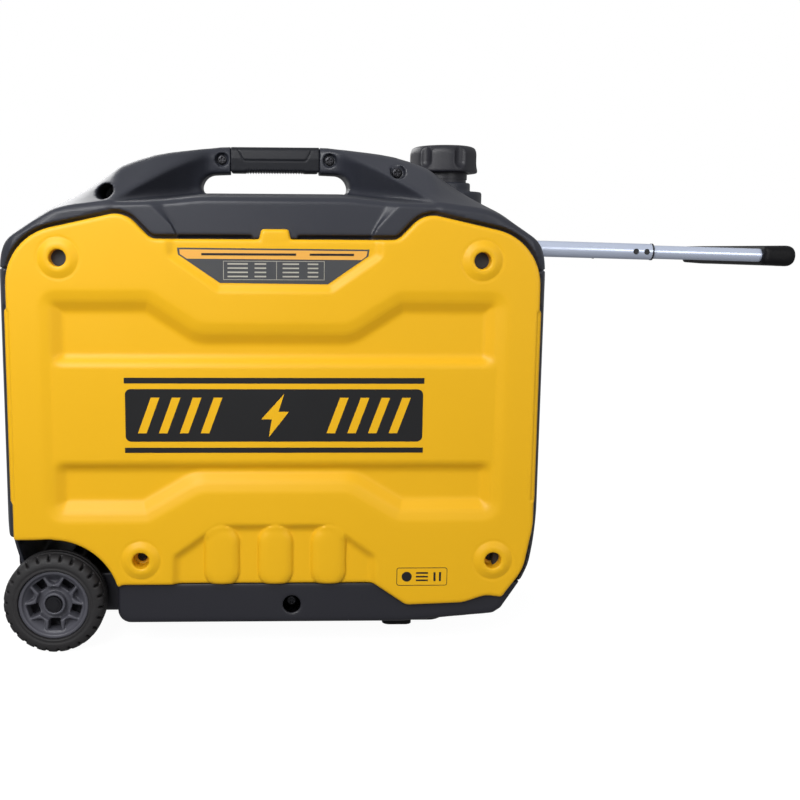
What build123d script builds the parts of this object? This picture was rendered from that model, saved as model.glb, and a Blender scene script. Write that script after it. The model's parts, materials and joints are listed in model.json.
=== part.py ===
from build123d import *
import os
from math import cos, radians, sin

# Inverter generator on two wheels with a telescopic pull handle.
# Millimetres, +Z up, standing on the ground at Z = 0.
# X runs along the length: wheels and exhaust at -X, sockets and pull handle at +X.
# Y runs across the width: the carrying handle's front is at -Y, the service side at +Y.
# The origin lies on the ground under the middle of the whole, with the pull handle drawn out.

os.makedirs("parts", exist_ok=True)

# ---------------------------------------------------------------- driving dimensions
BODY_LENGTH = 600.0
BODY_WIDTH = 330.0              # over the dark covers; the side covers stand 10 mm proud
SIDE_FACE = 175.0               # outer face of the side covers, from the middle plane
HANDLE_REACH = 575.0            # middle of the body to the end of the drawn-out grip
WALL = 3.5                      # plastic covers
CLEAR = 0.4                     # air gap between pieces that move apart

BODY_X = -(HANDLE_REACH - BODY_LENGTH / 2) / 2   # middle of the body in the row frame
HALF_LENGTH = BODY_LENGTH / 2
HALF_WIDTH = BODY_WIDTH / 2

TOP_SPLIT = 415.0               # seam between the end covers and the top cover
BASE_SPLIT = 77.0               # seam between the base pan and the covers
PAN_BOTTOM = 32.0
TUB_BOTTOM = 6.0
DECK = 490.0                    # top of the body under the carrying handle
GRIP_TOP = 552.0

WHEEL_X = -238.0
WHEEL_R = 55.0
WHEEL_IN = 131.0
WHEEL_OUT = 172.0
AXLE_R = 6.0

CRANK_Z = 190.0
SHAFT_R = 12.5

TUBE_Y = 105.0                  # half spacing of the telescopic tubes
TUBE_Z = 435.0                  # height of the tubes at the collar
COLLAR_X = 417.0
TUBE_SLOPE = 1.4                # degrees, falling towards +X
OUTER_R = 8.7
INNER_R = 7.2

CAP_X = 205.0
CAP_Y = 30.0
CAP_R = 40.0
CAP_BOTTOM = 526.0
CAP_TOP = 557.0
NECK_R = 24.0

PANEL_X = 276.0                 # front of the control panel plate

# datum planes through the middle of the body: seen from above, from the side and from the end
TOP = Plane(origin=(BODY_X, 0, 0))
SIDE = Plane(origin=(BODY_X, 0, 0), x_dir=(1, 0, 0), z_dir=(0, -1, 0))
END = Plane(origin=(BODY_X, 0, 0), x_dir=(0, 1, 0), z_dir=(1, 0, 0))
MID = Plane.XZ                  # mirror plane between the near and the far side

# the telescopic tubes lie along their own plane, whose normal is the sliding direction
TUBE_DIR = (cos(radians(TUBE_SLOPE)), 0, -sin(radians(TUBE_SLOPE)))
TUBES = Plane(origin=(BODY_X + COLLAR_X, 0, TUBE_Z), x_dir=(0, 1, 0), z_dir=TUBE_DIR)
TUBE_SPOTS = [(-TUBE_Y, 0), (TUBE_Y, 0)]


def box_on(plane, centre, size, height, mode=Mode.ADD, radius=0.0):
    """A block on a plane, with its upright corners rounded when a radius is given."""
    with BuildSketch(plane) as base:
        with Locations(centre):
            if radius:
                RectangleRounded(size[0], size[1], radius)
            else:
                Rectangle(size[0], size[1])
    extrude(base.sketch, amount=height, mode=mode)


def disc_on(plane, centre, radius, height, mode=Mode.ADD):
    """A round boss or hole on a plane."""
    with BuildSketch(plane) as base:
        with Locations(centre):
            Circle(radius)
    extrude(base.sketch, amount=height, mode=mode)


def ring_on(plane, centre, outer, inner, height):
    """A plain ring or tube on a plane."""
    with BuildSketch(plane) as base:
        with Locations(centre):
            Circle(outer)
            Circle(inner, mode=Mode.SUBTRACT)
    extrude(base.sketch, amount=height)


# ---------------------------------------------------------------- housing envelope
SIDE_OUTLINE = [(-276, BASE_SPLIT), (-300, 150), (-300, 430), (-150, 533.5), (-60, GRIP_TOP),
                (60, GRIP_TOP), (150, 533.5), (300, 430), (300, 150), (276, BASE_SPLIT)]
SIDE_RADII = [4, 60, 75, 150, 200, 200, 150, 75, 60, 4]
END_OUTLINE = [(-HALF_WIDTH, 60), (-HALF_WIDTH, 458), (-150, 482), (-118, 503), (-62, 524),
               (-34, 538), (-16, GRIP_TOP + 2), (16, GRIP_TOP + 2), (34, 538), (62, 524),
               (118, 503), (150, 482), (HALF_WIDTH, 458), (HALF_WIDTH, 60)]
END_BULGE = 14.0                # how far each end bulges outwards at the middle


def envelope(inset):
    """The solid outer form of the covers, or the space inside walls of the given thickness."""
    with BuildPart() as form:
        with BuildSketch(SIDE.offset(-HALF_WIDTH + inset)):
            with BuildLine():
                FilletPolyline(*SIDE_OUTLINE, radius=SIDE_RADII, close=True)
            make_face()
            if inset:
                offset(amount=-inset)
        extrude(amount=2 * (HALF_WIDTH - inset))
        with BuildSketch(TOP):
            with BuildLine():
                corner = HALF_LENGTH - END_BULGE
                ThreePointArc((corner, -HALF_WIDTH), (HALF_LENGTH, 0), (corner, HALF_WIDTH))
                Line((corner, HALF_WIDTH), (-corner, HALF_WIDTH))
                ThreePointArc((-corner, HALF_WIDTH), (-HALF_LENGTH, 0), (-corner, -HALF_WIDTH))
                Line((-corner, -HALF_WIDTH), (corner, -HALF_WIDTH))
            make_face()
            if inset:
                offset(amount=-inset)
        extrude(amount=GRIP_TOP + 20, mode=Mode.INTERSECT)
        with BuildSketch(END.offset(-HALF_LENGTH)):
            with BuildLine():
                Polyline(*END_OUTLINE, close=True)
            make_face()
            if inset:
                offset(amount=-inset)
        extrude(amount=BODY_LENGTH, mode=Mode.INTERSECT)
    return form.part


OUTSIDE = envelope(0)
INSIDE = envelope(WALL)


# ---------------------------------------------------------------- base pan
PAN_SIDE = [(-170, BASE_SPLIT), (-170, PAN_BOTTOM), (140, PAN_BOTTOM), (235, 44), (252, 54),
            (264, BASE_SPLIT)]
PAN_NARROW = 125.0              # half width between the wheels
PAN_REAR = -278.0
PAN_FLOOR = PAN_BOTTOM + 4
PAN_SCREW = (19, 53)            # cover screw low on each side
AXLE_Z = WHEEL_R
TUB_SIZE = (320.0, 180.0)       # the tub under the engine, seen from above
TUB_X = 10.0

with BuildPart() as base_pan:
    with BuildSketch(SIDE.offset(-HALF_WIDTH)):
        with BuildLine():
            FilletPolyline(*PAN_SIDE, radius=[0.5, 12, 60, 12, 8, 0.5], close=True)
        make_face()
    extrude(amount=2 * HALF_WIDTH)
    box_on(TOP.offset(PAN_BOTTOM), ((PAN_REAR - 165) / 2, 0),
           (-165 - PAN_REAR, 2 * PAN_NARROW), BASE_SPLIT - PAN_BOTTOM)
    box_on(TOP.offset(TUB_BOTTOM), (TUB_X, 0), TUB_SIZE, 30, radius=20)
    with BuildSketch(SIDE.offset(-HALF_WIDTH + WALL)) as pan_inside:
        with BuildLine():
            Polyline((-166, BASE_SPLIT + 5), (-166, PAN_FLOOR), (140, PAN_FLOOR),
                     (234, 48), (248, 57), (258, BASE_SPLIT + 5), close=True)
        make_face()
    extrude(pan_inside.sketch, amount=2 * (HALF_WIDTH - WALL), mode=Mode.SUBTRACT)
    box_on(TOP.offset(PAN_FLOOR), (-219, 0), (111, 2 * PAN_NARROW - 8), 60, Mode.SUBTRACT)
    box_on(TOP.offset(TUB_BOTTOM + 4), (TUB_X, 0), (TUB_SIZE[0] - 8, TUB_SIZE[1] - 8), 40,
           Mode.SUBTRACT, radius=16)
    for side in (-1, 1):
        disc_on(SIDE.offset(side * PAN_NARROW - 4), (WHEEL_X, AXLE_Z), 14, 8)
    disc_on(SIDE.offset(-PAN_NARROW - 8), (WHEEL_X, AXLE_Z), AXLE_R, 2 * PAN_NARROW + 16,
            Mode.SUBTRACT)
    for side in (-1, 1):
        disc_on(SIDE.offset(side * (HALF_WIDTH - 4) - 5), PAN_SCREW, 9, 10, Mode.SUBTRACT)
base_pan.part.label = "base_pan"
export_step(base_pan.part, "parts/base_pan.step")


# ---------------------------------------------------------------- end covers
SIDE_OPENING = 237.0            # the side covers close the sides between these X values
WELL_R = 72.0                   # wheel arch


def louvres(plane, centres, length, height, depth):
    """A column of ventilation slots with round ends."""
    with BuildSketch(plane) as slots:
        with Locations(*centres):
            SlotOverall(length, height)
    extrude(slots.sketch, amount=depth, mode=Mode.SUBTRACT)


def wheel_arch(mode):
    """The outline that the side covers leave free around a wheel."""
    with Locations((WHEEL_X, AXLE_Z)):
        Circle(WELL_R, mode=mode)
    with Locations((-278, 82)):
        Rectangle(80, 90, mode=mode)


def keep_end(sign):
    """Trim the body shell to one end, between the base pan and the top cover."""
    reach = HALF_LENGTH + 20 - SIDE_OPENING
    middle = sign * (SIDE_OPENING + reach / 2)
    box_on(TOP.offset(BASE_SPLIT), (middle, 0), (reach, 2 * HALF_WIDTH + 20),
           TOP_SPLIT - BASE_SPLIT, Mode.INTERSECT)


COVER_BOSSES = [(-223, 426), (216, 425), (-143, 105), (236, 104)]
CUP_R = 12.5                    # cups of the side covers that take the cover screws
CUP_DEPTH = 24.0                # from the outer face of the side cover to the cup's end


def cup_holes():
    """Openings in a dark cover for the screw cups of both side covers."""
    with BuildSketch(SIDE.offset(-SIDE_FACE)) as cups:
        with Locations(*COVER_BOSSES):
            Circle(CUP_R + 0.5)
    extrude(cups.sketch, amount=CUP_DEPTH + 5, mode=Mode.SUBTRACT)
    extrude(cups.sketch.moved(Location((0, -2 * SIDE_FACE + CUP_DEPTH + 5, 0))),
            amount=CUP_DEPTH + 5, mode=Mode.SUBTRACT)


CONTROL_SIZE = (250.0, 236.0)   # opening for the control panel, Y by Z
CONTROL_Z = 262.0

with BuildPart() as front_cover:
    add(OUTSIDE)
    add(INSIDE, mode=Mode.SUBTRACT)
    keep_end(1)
    box_on(END.offset(250), (0, CONTROL_Z), CONTROL_SIZE, 60, Mode.SUBTRACT, radius=16)
    louvres(END.offset(250), [(0, z) for z in (94, 106, 118, 130)], 220, 5, 60)
    cup_holes()
front_cover.part.label = "front_cover"
export_step(front_cover.part, "parts/front_cover.step")

EXHAUST_Y = 55.0
EXHAUST_Z = 285.0
EXHAUST_R = 18.0

with BuildPart() as rear_cover:
    add(OUTSIDE)
    add(INSIDE, mode=Mode.SUBTRACT)
    keep_end(-1)
    louvres(END.offset(-250), [(0, z) for z in range(120, 231, 11)], 230, 5.5, -60)
    louvres(END.offset(-250), [(-60, z) for z in range(252, 341, 11)], 110, 5.5, -60)
    disc_on(END.offset(-250), (EXHAUST_Y, EXHAUST_Z), 38, -60, Mode.SUBTRACT)
    for side in (-1, 1):
        with BuildSketch(SIDE.offset(side * 160 - 30)) as well:
            wheel_arch(Mode.ADD)
            with Locations((-300, 82)):
                Rectangle(60, 90)
        extrude(well.sketch, amount=60, mode=Mode.SUBTRACT)
    cup_holes()
rear_cover.part.label = "rear_cover"
export_step(rear_cover.part, "parts/rear_cover.step")


# ---------------------------------------------------------------- top cover with carrying handle
GAP_X = (-82.0, 86.0)           # finger gap
GAP_TOP = 524.0
GRIP_HALF = 19.0                # half width of the bar
PAD_X = 1.0                     # middle of the soft grip along the bar
TUBE_HOLE_R = 13.0              # holes for the telescopic tubes

with BuildPart() as top_cover:
    add(OUTSIDE)
    box_on(TOP.offset(TOP_SPLIT), (0, 0), (2 * HALF_LENGTH, 2 * HALF_WIDTH), 160,
           Mode.INTERSECT)
    # cut away beside the bar: each cut widens from the bar's ends to the side of the body
    for side in (-1, 1):
        with BuildSketch(TOP.offset(DECK)) as beside:
            with BuildLine():
                Polyline((-72, side * GRIP_HALF), (76, side * GRIP_HALF),
                         (112, side * 175), (-122, side * 175), close=True)
            make_face()
        extrude(beside.sketch, amount=100, mode=Mode.SUBTRACT)
    # finger gap
    with BuildSketch(SIDE.offset(-60)) as finger_gap:
        with BuildLine():
            FilletPolyline((GAP_X[0], DECK), (GAP_X[0] + 3, GAP_TOP - 10), (-60, GAP_TOP - 2),
                           (0, GAP_TOP), (62, GAP_TOP - 2), (GAP_X[1] - 3, GAP_TOP - 10),
                           (GAP_X[1], DECK), radius=[2, 8, 20, 60, 20, 8, 2], close=True)
        make_face()
    extrude(finger_gap.sketch, amount=120, mode=Mode.SUBTRACT)
    # hollow underneath
    with BuildPart(mode=Mode.PRIVATE) as hollow:
        add(INSIDE)
        box_on(TOP.offset(TOP_SPLIT - 1), (0, 0), (2 * HALF_LENGTH, 2 * HALF_WIDTH),
               DECK - WALL - TOP_SPLIT + 1, Mode.INTERSECT)
    add(hollow.part, mode=Mode.SUBTRACT)
    # seat for the soft pad on top of the bar, and for the ribbed grip under it
    box_on(SIDE.offset(-15), (PAD_X, GRIP_TOP - 6), (88, 14), 30, Mode.SUBTRACT)
    box_on(SIDE.offset(-14), (PAD_X, GAP_TOP + 2), (72, 9), 28, Mode.SUBTRACT)
    # stepped collar around the fuel filler opening
    disc_on(TOP.offset(DECK - WALL), (CAP_X, CAP_Y), NECK_R + 9, 16)
    disc_on(TOP.offset(DECK - WALL), (CAP_X, CAP_Y), NECK_R + 5, 23)
    disc_on(TOP.offset(DECK - 20), (CAP_X, CAP_Y), NECK_R + 1, 60, Mode.SUBTRACT)
    cup_holes()
    # openings for the telescopic tubes
    with BuildSketch(TUBES.offset(-200)) as exits:
        with Locations(*TUBE_SPOTS):
            Circle(TUBE_HOLE_R)
    extrude(exits.sketch, amount=120, mode=Mode.SUBTRACT)
top_cover.part.label = "top_cover"
export_step(top_cover.part, "parts/top_cover.step")

RIB_PITCH = 3.2
RIB_COUNT = 21

with BuildPart() as handle_grip:
    with BuildSketch(SIDE.offset(-15)):
        with BuildLine():
            FilletPolyline((PAD_X - 44, GRIP_TOP + 0.5), (PAD_X - 37, GRIP_TOP - 13),
                           (PAD_X + 37, GRIP_TOP - 13), (PAD_X + 44, GRIP_TOP + 0.5),
                           radius=[2, 3, 3, 2], close=True)
        make_face()
    extrude(amount=30)
    box_on(SIDE.offset(-14), (PAD_X, GAP_TOP + 2.5), (72, 7.5), 28)
    with BuildSketch(SIDE.offset(-20)) as notches:
        with Locations((PAD_X, GAP_TOP - 1)):
            with GridLocations(RIB_PITCH, 1, RIB_COUNT, 1):
                Rectangle(1.4, 2.6)
    extrude(notches.sketch, amount=40, mode=Mode.SUBTRACT)
handle_grip.part.label = "handle_grip"
export_step(handle_grip.part, "parts/handle_grip.step")


# ---------------------------------------------------------------- side covers
COVER_OUTLINE = [(-278, 70), (-278, 446.5), (-155, 474), (-128, 446), (128, 446), (155, 474),
                 (278, 446.5), (278, 150), (272, 103), (250, 62), (146, 52.5), (108, 77),
                 (-163, 77), (-170, 70)]
COVER_RADII = [1, 60, 28, 14, 14, 28, 60, 40, 10, 6, 12, 10, 1, 1]
RECESS_OUTER = [(-246, 205), (-246, 395), (-128, 395.5), (-76, 361.5), (76, 361.5), (128, 395.5),
                (246, 395), (246, 145.5), (131, 145.5), (78, 177), (-78, 177), (-134, 144),
                (-246, 144)]
RECESS_FLOOR = [(-225, 205), (-225, 368.5), (-136, 368.5), (-84, 336.5), (84, 336.5), (136, 368.5),
                (225, 368.5), (225, 160), (138, 160), (84, 192), (-84, 192), (-138, 160),
                (-225, 160)]
RECESS_DEPTH = 10.0
BAND_OUTER = (456.0, 122.0)     # raised band across the recess
BAND_TOP = (452.0, 104.0)
BAND_Z = 263.0
LOWER_OUTER = [(-112, 70), (-110, 110), (-62, 145), (62, 145), (110, 110), (113, 70)]
LOWER_FLOOR = [(-104, 70), (-102, 106), (-58, 138), (58, 138), (102, 106), (105, 70)]
LABEL_OUTER = [(-113, 444), (-108, 425), (-62, 391), (62, 391), (108, 425), (113, 444)]
LABEL_FLOOR = [(-103, 441), (-102, 428), (-57, 398), (57, 398), (102, 428), (103, 441)]
RIB_CENTRES = (-56.5, 1.0, 58.5)
DOOR_SIZE = (150.0, 92.0)       # service door in the far side cover
DOOR_AT = (-12.0, 263.0)
GRIP_AT = (156.0, 238.0)        # recoil starter grip in the far side cover


def polygon_on(plane, points):
    """A plain polygon sketch."""
    with BuildSketch(plane) as shape:
        with BuildLine():
            Polyline(*points, close=True)
        make_face()
    return shape.sketch


def sunk(outer, floor, depth):
    """Cut a pocket with sloping sides into the outer face of the near side cover."""
    with BuildPart(mode=Mode.PRIVATE) as pocket:
        loft([polygon_on(SIDE.offset(SIDE_FACE + 0.01), outer),
              polygon_on(SIDE.offset(SIDE_FACE - depth), floor)])
    add(pocket.part, mode=Mode.SUBTRACT)


def side_cover_form():
    """The near side cover: a deep-drawn plastic skin with a recess, a band and screw bosses."""
    with BuildPart() as cover:
        with BuildSketch(SIDE.offset(HALF_WIDTH + 0.3)) as skin:
            with BuildLine():
                FilletPolyline(*COVER_OUTLINE, radius=COVER_RADII, close=True)
            make_face()
            wheel_arch(Mode.SUBTRACT)
        extrude(skin.sketch, amount=SIDE_FACE - HALF_WIDTH - 0.3)
        outer_edges = cover.faces().sort_by(Axis.Y)[0].outer_wire().edges()
        chamfer(outer_edges, 2.2)
        box_on(SIDE.offset(HALF_WIDTH - 5), (0, 255), (468, 316), 6)
        with BuildSketch(SIDE.offset(HALF_WIDTH - 10)) as arch_cut:
            wheel_arch(Mode.ADD)
        extrude(arch_cut.sketch, amount=40, mode=Mode.SUBTRACT)
        for spot in COVER_BOSSES:
            disc_on(SIDE.offset(SIDE_FACE - CUP_DEPTH), spot, CUP_R, CUP_DEPTH - 8)
        sunk(RECESS_OUTER, RECESS_FLOOR, RECESS_DEPTH)
        with BuildPart(mode=Mode.PRIVATE) as band:
            with BuildSketch(SIDE.offset(SIDE_FACE - RECESS_DEPTH)) as band_foot:
                with Locations((0, BAND_Z)):
                    Rectangle(*BAND_OUTER)
            with BuildSketch(SIDE.offset(SIDE_FACE - 2)) as band_face:
                with Locations((0, BAND_Z)):
                    Rectangle(*BAND_TOP)
            loft([band_foot.sketch, band_face.sketch])
        add(band.part)
        sunk(LOWER_OUTER, LOWER_FLOOR, 7)
        sunk(LABEL_OUTER, LABEL_FLOOR, 4)
        for centre in RIB_CENTRES:
            with BuildSketch(TOP.offset(78)) as rib:
                with Locations((centre, -(SIDE_FACE - 7))):
                    Ellipse(18.5, 6.2)
            extrude(rib.sketch, amount=60)
        for spot in COVER_BOSSES:
            disc_on(SIDE.offset(SIDE_FACE - CUP_DEPTH + 3), spot, 8.8, 40, Mode.SUBTRACT)
            disc_on(SIDE.offset(SIDE_FACE - CUP_DEPTH - 1), spot, 3, 10, Mode.SUBTRACT)
    return cover.part


NEAR_COVER = side_cover_form()

with BuildPart() as side_cover_near:
    add(NEAR_COVER)
side_cover_near.part.label = "side_cover_near"
export_step(side_cover_near.part, "parts/side_cover_near.step")

with BuildPart() as side_cover_far:
    add(NEAR_COVER)
    mirror(about=MID, mode=Mode.REPLACE)
    box_on(SIDE.offset(-180), DOOR_AT, DOOR_SIZE, 25, Mode.SUBTRACT, radius=10)
    box_on(SIDE.offset(-180), GRIP_AT, (88, 34), 13.5, Mode.SUBTRACT, radius=12)
    disc_on(SIDE.offset(-180), GRIP_AT, 4, 25, Mode.SUBTRACT)
side_cover_far.part.label = "side_cover_far"
export_step(side_cover_far.part, "parts/side_cover_far.step")


# ---------------------------------------------------------------- cover screws
def screw(plane, spot, head_r, head_h, length):
    """A pan-head screw: the head stands on the plane, the shank goes below it."""
    disc_on(plane, spot, head_r, head_h)
    disc_on(plane, spot, head_r * 0.45, -length)
    box_on(plane.offset(head_h - 1.2), spot, (head_r * 1.2, 1.2), 2, Mode.SUBTRACT)


with BuildPart() as cover_screws:
    for spot in COVER_BOSSES:
        screw(SIDE.offset(SIDE_FACE - CUP_DEPTH + 3), spot, 6.5, 4, 10)
    mirror(about=MID)
cover_screws.part.label = "cover_screws"
export_step(cover_screws.part, "parts/cover_screws.step")


# ---------------------------------------------------------------- feet, axle and wheels
with BuildPart() as rubber_feet:
    for side in (-1, 1):
        with BuildSketch(TOP) as sole:
            with Locations((145, side * 70)):
                RectangleRounded(34, 28, 8)
        extrude(sole.sketch, amount=TUB_BOTTOM)
rubber_feet.part.label = "rubber_feet"
export_step(rubber_feet.part, "parts/rubber_feet.step")

with BuildPart() as axle:
    disc_on(SIDE.offset(-168), (WHEEL_X, AXLE_Z), AXLE_R, 336)
axle.part.label = "axle"
export_step(axle.part, "parts/axle.step")

with BuildPart() as axle_clips:
    ring_on(SIDE.offset(165.4), (WHEEL_X, AXLE_Z), 8.5, AXLE_R, 1.6)
    ring_on(SIDE.offset(129.2), (WHEEL_X, AXLE_Z), 9.5, AXLE_R, 1.2)
    mirror(about=MID)
axle_clips.part.label = "axle_clips"
export_step(axle_clips.part, "parts/axle_clips.step")

HUB_R = 38.0
HUB_OUT = 169.0
SPOKES = 5
AXLE_FIT = 0.05                 # running clearance of the hub on the axle


def hub_form():
    """The near wheel's hub: a rim and web with five windows around a bored boss."""
    centre = (WHEEL_X, AXLE_Z)
    with BuildPart() as hub:
        ring_on(SIDE.offset(WHEEL_IN + 2), centre, HUB_R, HUB_R - 5, HUB_OUT - WHEEL_IN - 2)
        disc_on(SIDE.offset(154), centre, HUB_R - 4, 8)
        disc_on(SIDE.offset(WHEEL_IN), centre, 12, 34)
        with BuildSketch(SIDE.offset(150)) as windows:
            with Locations(centre):
                with PolarLocations(24, SPOKES, start_angle=-90):
                    RectangleRounded(13, 16, 5)
        extrude(windows.sketch, amount=30, mode=Mode.SUBTRACT)
        disc_on(SIDE.offset(WHEEL_IN - 1), centre, AXLE_R + AXLE_FIT, 50, Mode.SUBTRACT)
    return hub.part


def tyre_form():
    """The near wheel's tyre: a rounded solid rubber ring with tread grooves."""
    centre_y = -(WHEEL_IN + WHEEL_OUT) / 2
    half = (WHEEL_OUT - WHEEL_IN) / 2
    with BuildPart() as tyre:
        with BuildSketch(Plane(origin=(BODY_X + WHEEL_X, centre_y, AXLE_Z),
                               x_dir=(0, 1, 0), z_dir=(1, 0, 0))):
            with BuildLine():
                FilletPolyline((-half, HUB_R), (half, HUB_R), (half, WHEEL_R),
                               (-half, WHEEL_R), radius=[1, 1, 9, 9], close=True)
            make_face()
        axis = Axis((BODY_X + WHEEL_X, 0, AXLE_Z), (0, 1, 0))
        revolve(axis=axis)
        with BuildSketch(SIDE.offset(WHEEL_IN - 1)) as grooves:
            with Locations((WHEEL_X, AXLE_Z)):
                with PolarLocations(WHEEL_R, 24, start_angle=7.5):
                    Rectangle(5, 3)
        extrude(grooves.sketch, amount=12, mode=Mode.SUBTRACT)
        extrude(grooves.sketch.moved(Location((0, -31, 0))), amount=12, mode=Mode.SUBTRACT)
    return tyre.part


NEAR_HUB = hub_form()
NEAR_TYRE = tyre_form()

with BuildPart() as wheel_hub_near:
    add(NEAR_HUB)
wheel_hub_near.part.label = "wheel_hub_near"
export_step(wheel_hub_near.part, "parts/wheel_hub_near.step")

with BuildPart() as wheel_hub_far:
    add(NEAR_HUB)
    mirror(about=MID, mode=Mode.REPLACE)
wheel_hub_far.part.label = "wheel_hub_far"
export_step(wheel_hub_far.part, "parts/wheel_hub_far.step")

with BuildPart() as tyre_near:
    add(NEAR_TYRE)
tyre_near.part.label = "tyre_near"
export_step(tyre_near.part, "parts/tyre_near.step")

with BuildPart() as tyre_far:
    add(NEAR_TYRE)
    mirror(about=MID, mode=Mode.REPLACE)
tyre_far.part.label = "tyre_far"
export_step(tyre_far.part, "parts/tyre_far.step")


# ---------------------------------------------------------------- telescopic pull handle
def tube_pair(start, length, outer, inner):
    """Two parallel tubes; start is measured from the collar along the sliding direction."""
    with BuildSketch(TUBES.offset(start)) as rings:
        with Locations(*TUBE_SPOTS):
            Circle(outer)
            Circle(inner, mode=Mode.SUBTRACT)
    extrude(rings.sketch, amount=length)


OUTER_START = -200.0
BUSH_START = -225.0
BUSH_LENGTH = 89.0
BUSH_R = 12.4
DOT_R = 2.9                     # recesses for the black dots beside the collar

with BuildPart() as handle_guides:
    tube_pair(BUSH_START, BUSH_LENGTH, BUSH_R, OUTER_R + CLEAR)
handle_guides.part.label = "handle_guides"
export_step(handle_guides.part, "parts/handle_guides.step")

with BuildPart() as handle_tubes_outer:
    tube_pair(OUTER_START, -OUTER_START, OUTER_R, INNER_R + CLEAR)
    with BuildSketch(Plane(origin=(BODY_X + COLLAR_X, 0, TUBE_Z),
                           x_dir=TUBE_DIR, z_dir=(0, -1, 0)).offset(TUBE_Y + OUTER_R - 4)) as dots:
        with Locations((-20, 0), (-8, 0)):
            Circle(DOT_R)
    extrude(dots.sketch, amount=8, mode=Mode.SUBTRACT)
handle_tubes_outer.part.label = "handle_tubes_outer"
export_step(handle_tubes_outer.part, "parts/handle_tubes_outer.step")

INNER_START = -60.0
INNER_END = 145.0

with BuildPart() as handle_tubes_inner:
    tube_pair(INNER_START, INNER_END - INNER_START, INNER_R, INNER_R - 1.2)
handle_tubes_inner.part.label = "handle_tubes_inner"
export_step(handle_tubes_inner.part, "parts/handle_tubes_inner.step")

GRIP_START = 121.0
GRIP_END = HANDLE_REACH - COLLAR_X
GRIP_LENGTH = 2 * TUBE_Y + 30
BUTTON_SIZE = (46.0, 12.0)

with BuildPart() as pull_grip:
    with BuildSketch(Plane(origin=(BODY_X + COLLAR_X, 0, TUBE_Z), x_dir=TUBE_DIR,
                           z_dir=(0, -1, 0)).offset(-GRIP_LENGTH / 2)):
        with BuildLine():
            FilletPolyline((GRIP_START, -10.5), (GRIP_END, -11.5), (GRIP_END, 11.5),
                           (GRIP_START, 10.5), radius=[4, 11, 11, 4], close=True)
        make_face()
    extrude(amount=GRIP_LENGTH)
    with BuildSketch(TUBES.offset(GRIP_START - 1)) as sockets:
        with Locations(*TUBE_SPOTS):
            Circle(INNER_R)
    extrude(sockets.sketch, amount=INNER_END - GRIP_START + 1, mode=Mode.SUBTRACT)
    with BuildSketch(TUBES.offset(GRIP_START - 1)) as button_well:
        RectangleRounded(*BUTTON_SIZE, 5)
    extrude(button_well.sketch, amount=16, mode=Mode.SUBTRACT)
pull_grip.part.label = "pull_grip"
export_step(pull_grip.part, "parts/pull_grip.step")

with BuildPart() as release_button:
    with BuildSketch(TUBES.offset(GRIP_START - 3)) as press_face:
        RectangleRounded(BUTTON_SIZE[0] - 2 * CLEAR, BUTTON_SIZE[1] - 2 * CLEAR, 4.5)
    extrude(press_face.sketch, amount=10)
release_button.part.label = "release_button"
export_step(release_button.part, "parts/release_button.step")


# ---------------------------------------------------------------- fuel tank, neck and cap
TANK_BOTTOM = 335.0
TANK_TOP = 421.0
TANK_MID = (30.0, 0.0)
TANK_SIZE = (420.0, 296.0)
SHEET = 2.0                     # sheet steel of the tank and the silencer
NECK_WALL = 2.5

with BuildPart() as fuel_tank:
    box_on(TOP.offset(TANK_BOTTOM), TANK_MID, TANK_SIZE, TANK_TOP - TANK_BOTTOM, radius=40)
    box_on(TOP.offset(TANK_BOTTOM + SHEET), TANK_MID,
           (TANK_SIZE[0] - 2 * SHEET, TANK_SIZE[1] - 2 * SHEET),
           TANK_TOP - TANK_BOTTOM - 2 * SHEET, Mode.SUBTRACT, radius=40 - SHEET)
    disc_on(TOP.offset(TANK_TOP - SHEET - 1), (CAP_X, CAP_Y), NECK_R, 90)
    disc_on(TOP.offset(TANK_TOP - SHEET - 2), (CAP_X, CAP_Y), NECK_R - NECK_WALL, 100,
            Mode.SUBTRACT)
fuel_tank.part.label = "fuel_tank"
export_step(fuel_tank.part, "parts/fuel_tank.step")

with BuildPart() as fuel_cap_core:
    disc_on(TOP.offset(CAP_BOTTOM - 28), (CAP_X, CAP_Y), NECK_R - NECK_WALL - 0.7, 28)
    disc_on(TOP.offset(CAP_BOTTOM - 6), (CAP_X, CAP_Y), NECK_R + 5, 12)
    ring_on(TOP.offset(CAP_BOTTOM - 10), (CAP_X, CAP_Y), NECK_R + 4, NECK_R + 0.6, 5)
fuel_cap_core.part.label = "fuel_cap_core"
export_step(fuel_cap_core.part, "parts/fuel_cap_core.step")

with BuildPart() as fuel_cap:
    disc_on(TOP.offset(CAP_BOTTOM), (CAP_X, CAP_Y), CAP_R, CAP_TOP - CAP_BOTTOM)
    chamfer(fuel_cap.faces().sort_by(Axis.Z)[-1].edges(), 6)
    with BuildSketch(TOP.offset(CAP_BOTTOM + 6)) as scallops:
        with Locations((CAP_X, CAP_Y)):
            with PolarLocations(CAP_R + 3, 6, start_angle=50):
                Circle(8)
    extrude(scallops.sketch, amount=40, mode=Mode.SUBTRACT)
    disc_on(TOP.offset(CAP_BOTTOM - 1), (CAP_X, CAP_Y), NECK_R + 5 + CLEAR, 7 + CLEAR,
            Mode.SUBTRACT)
fuel_cap.part.label = "fuel_cap"
export_step(fuel_cap.part, "parts/fuel_cap.step")


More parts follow.
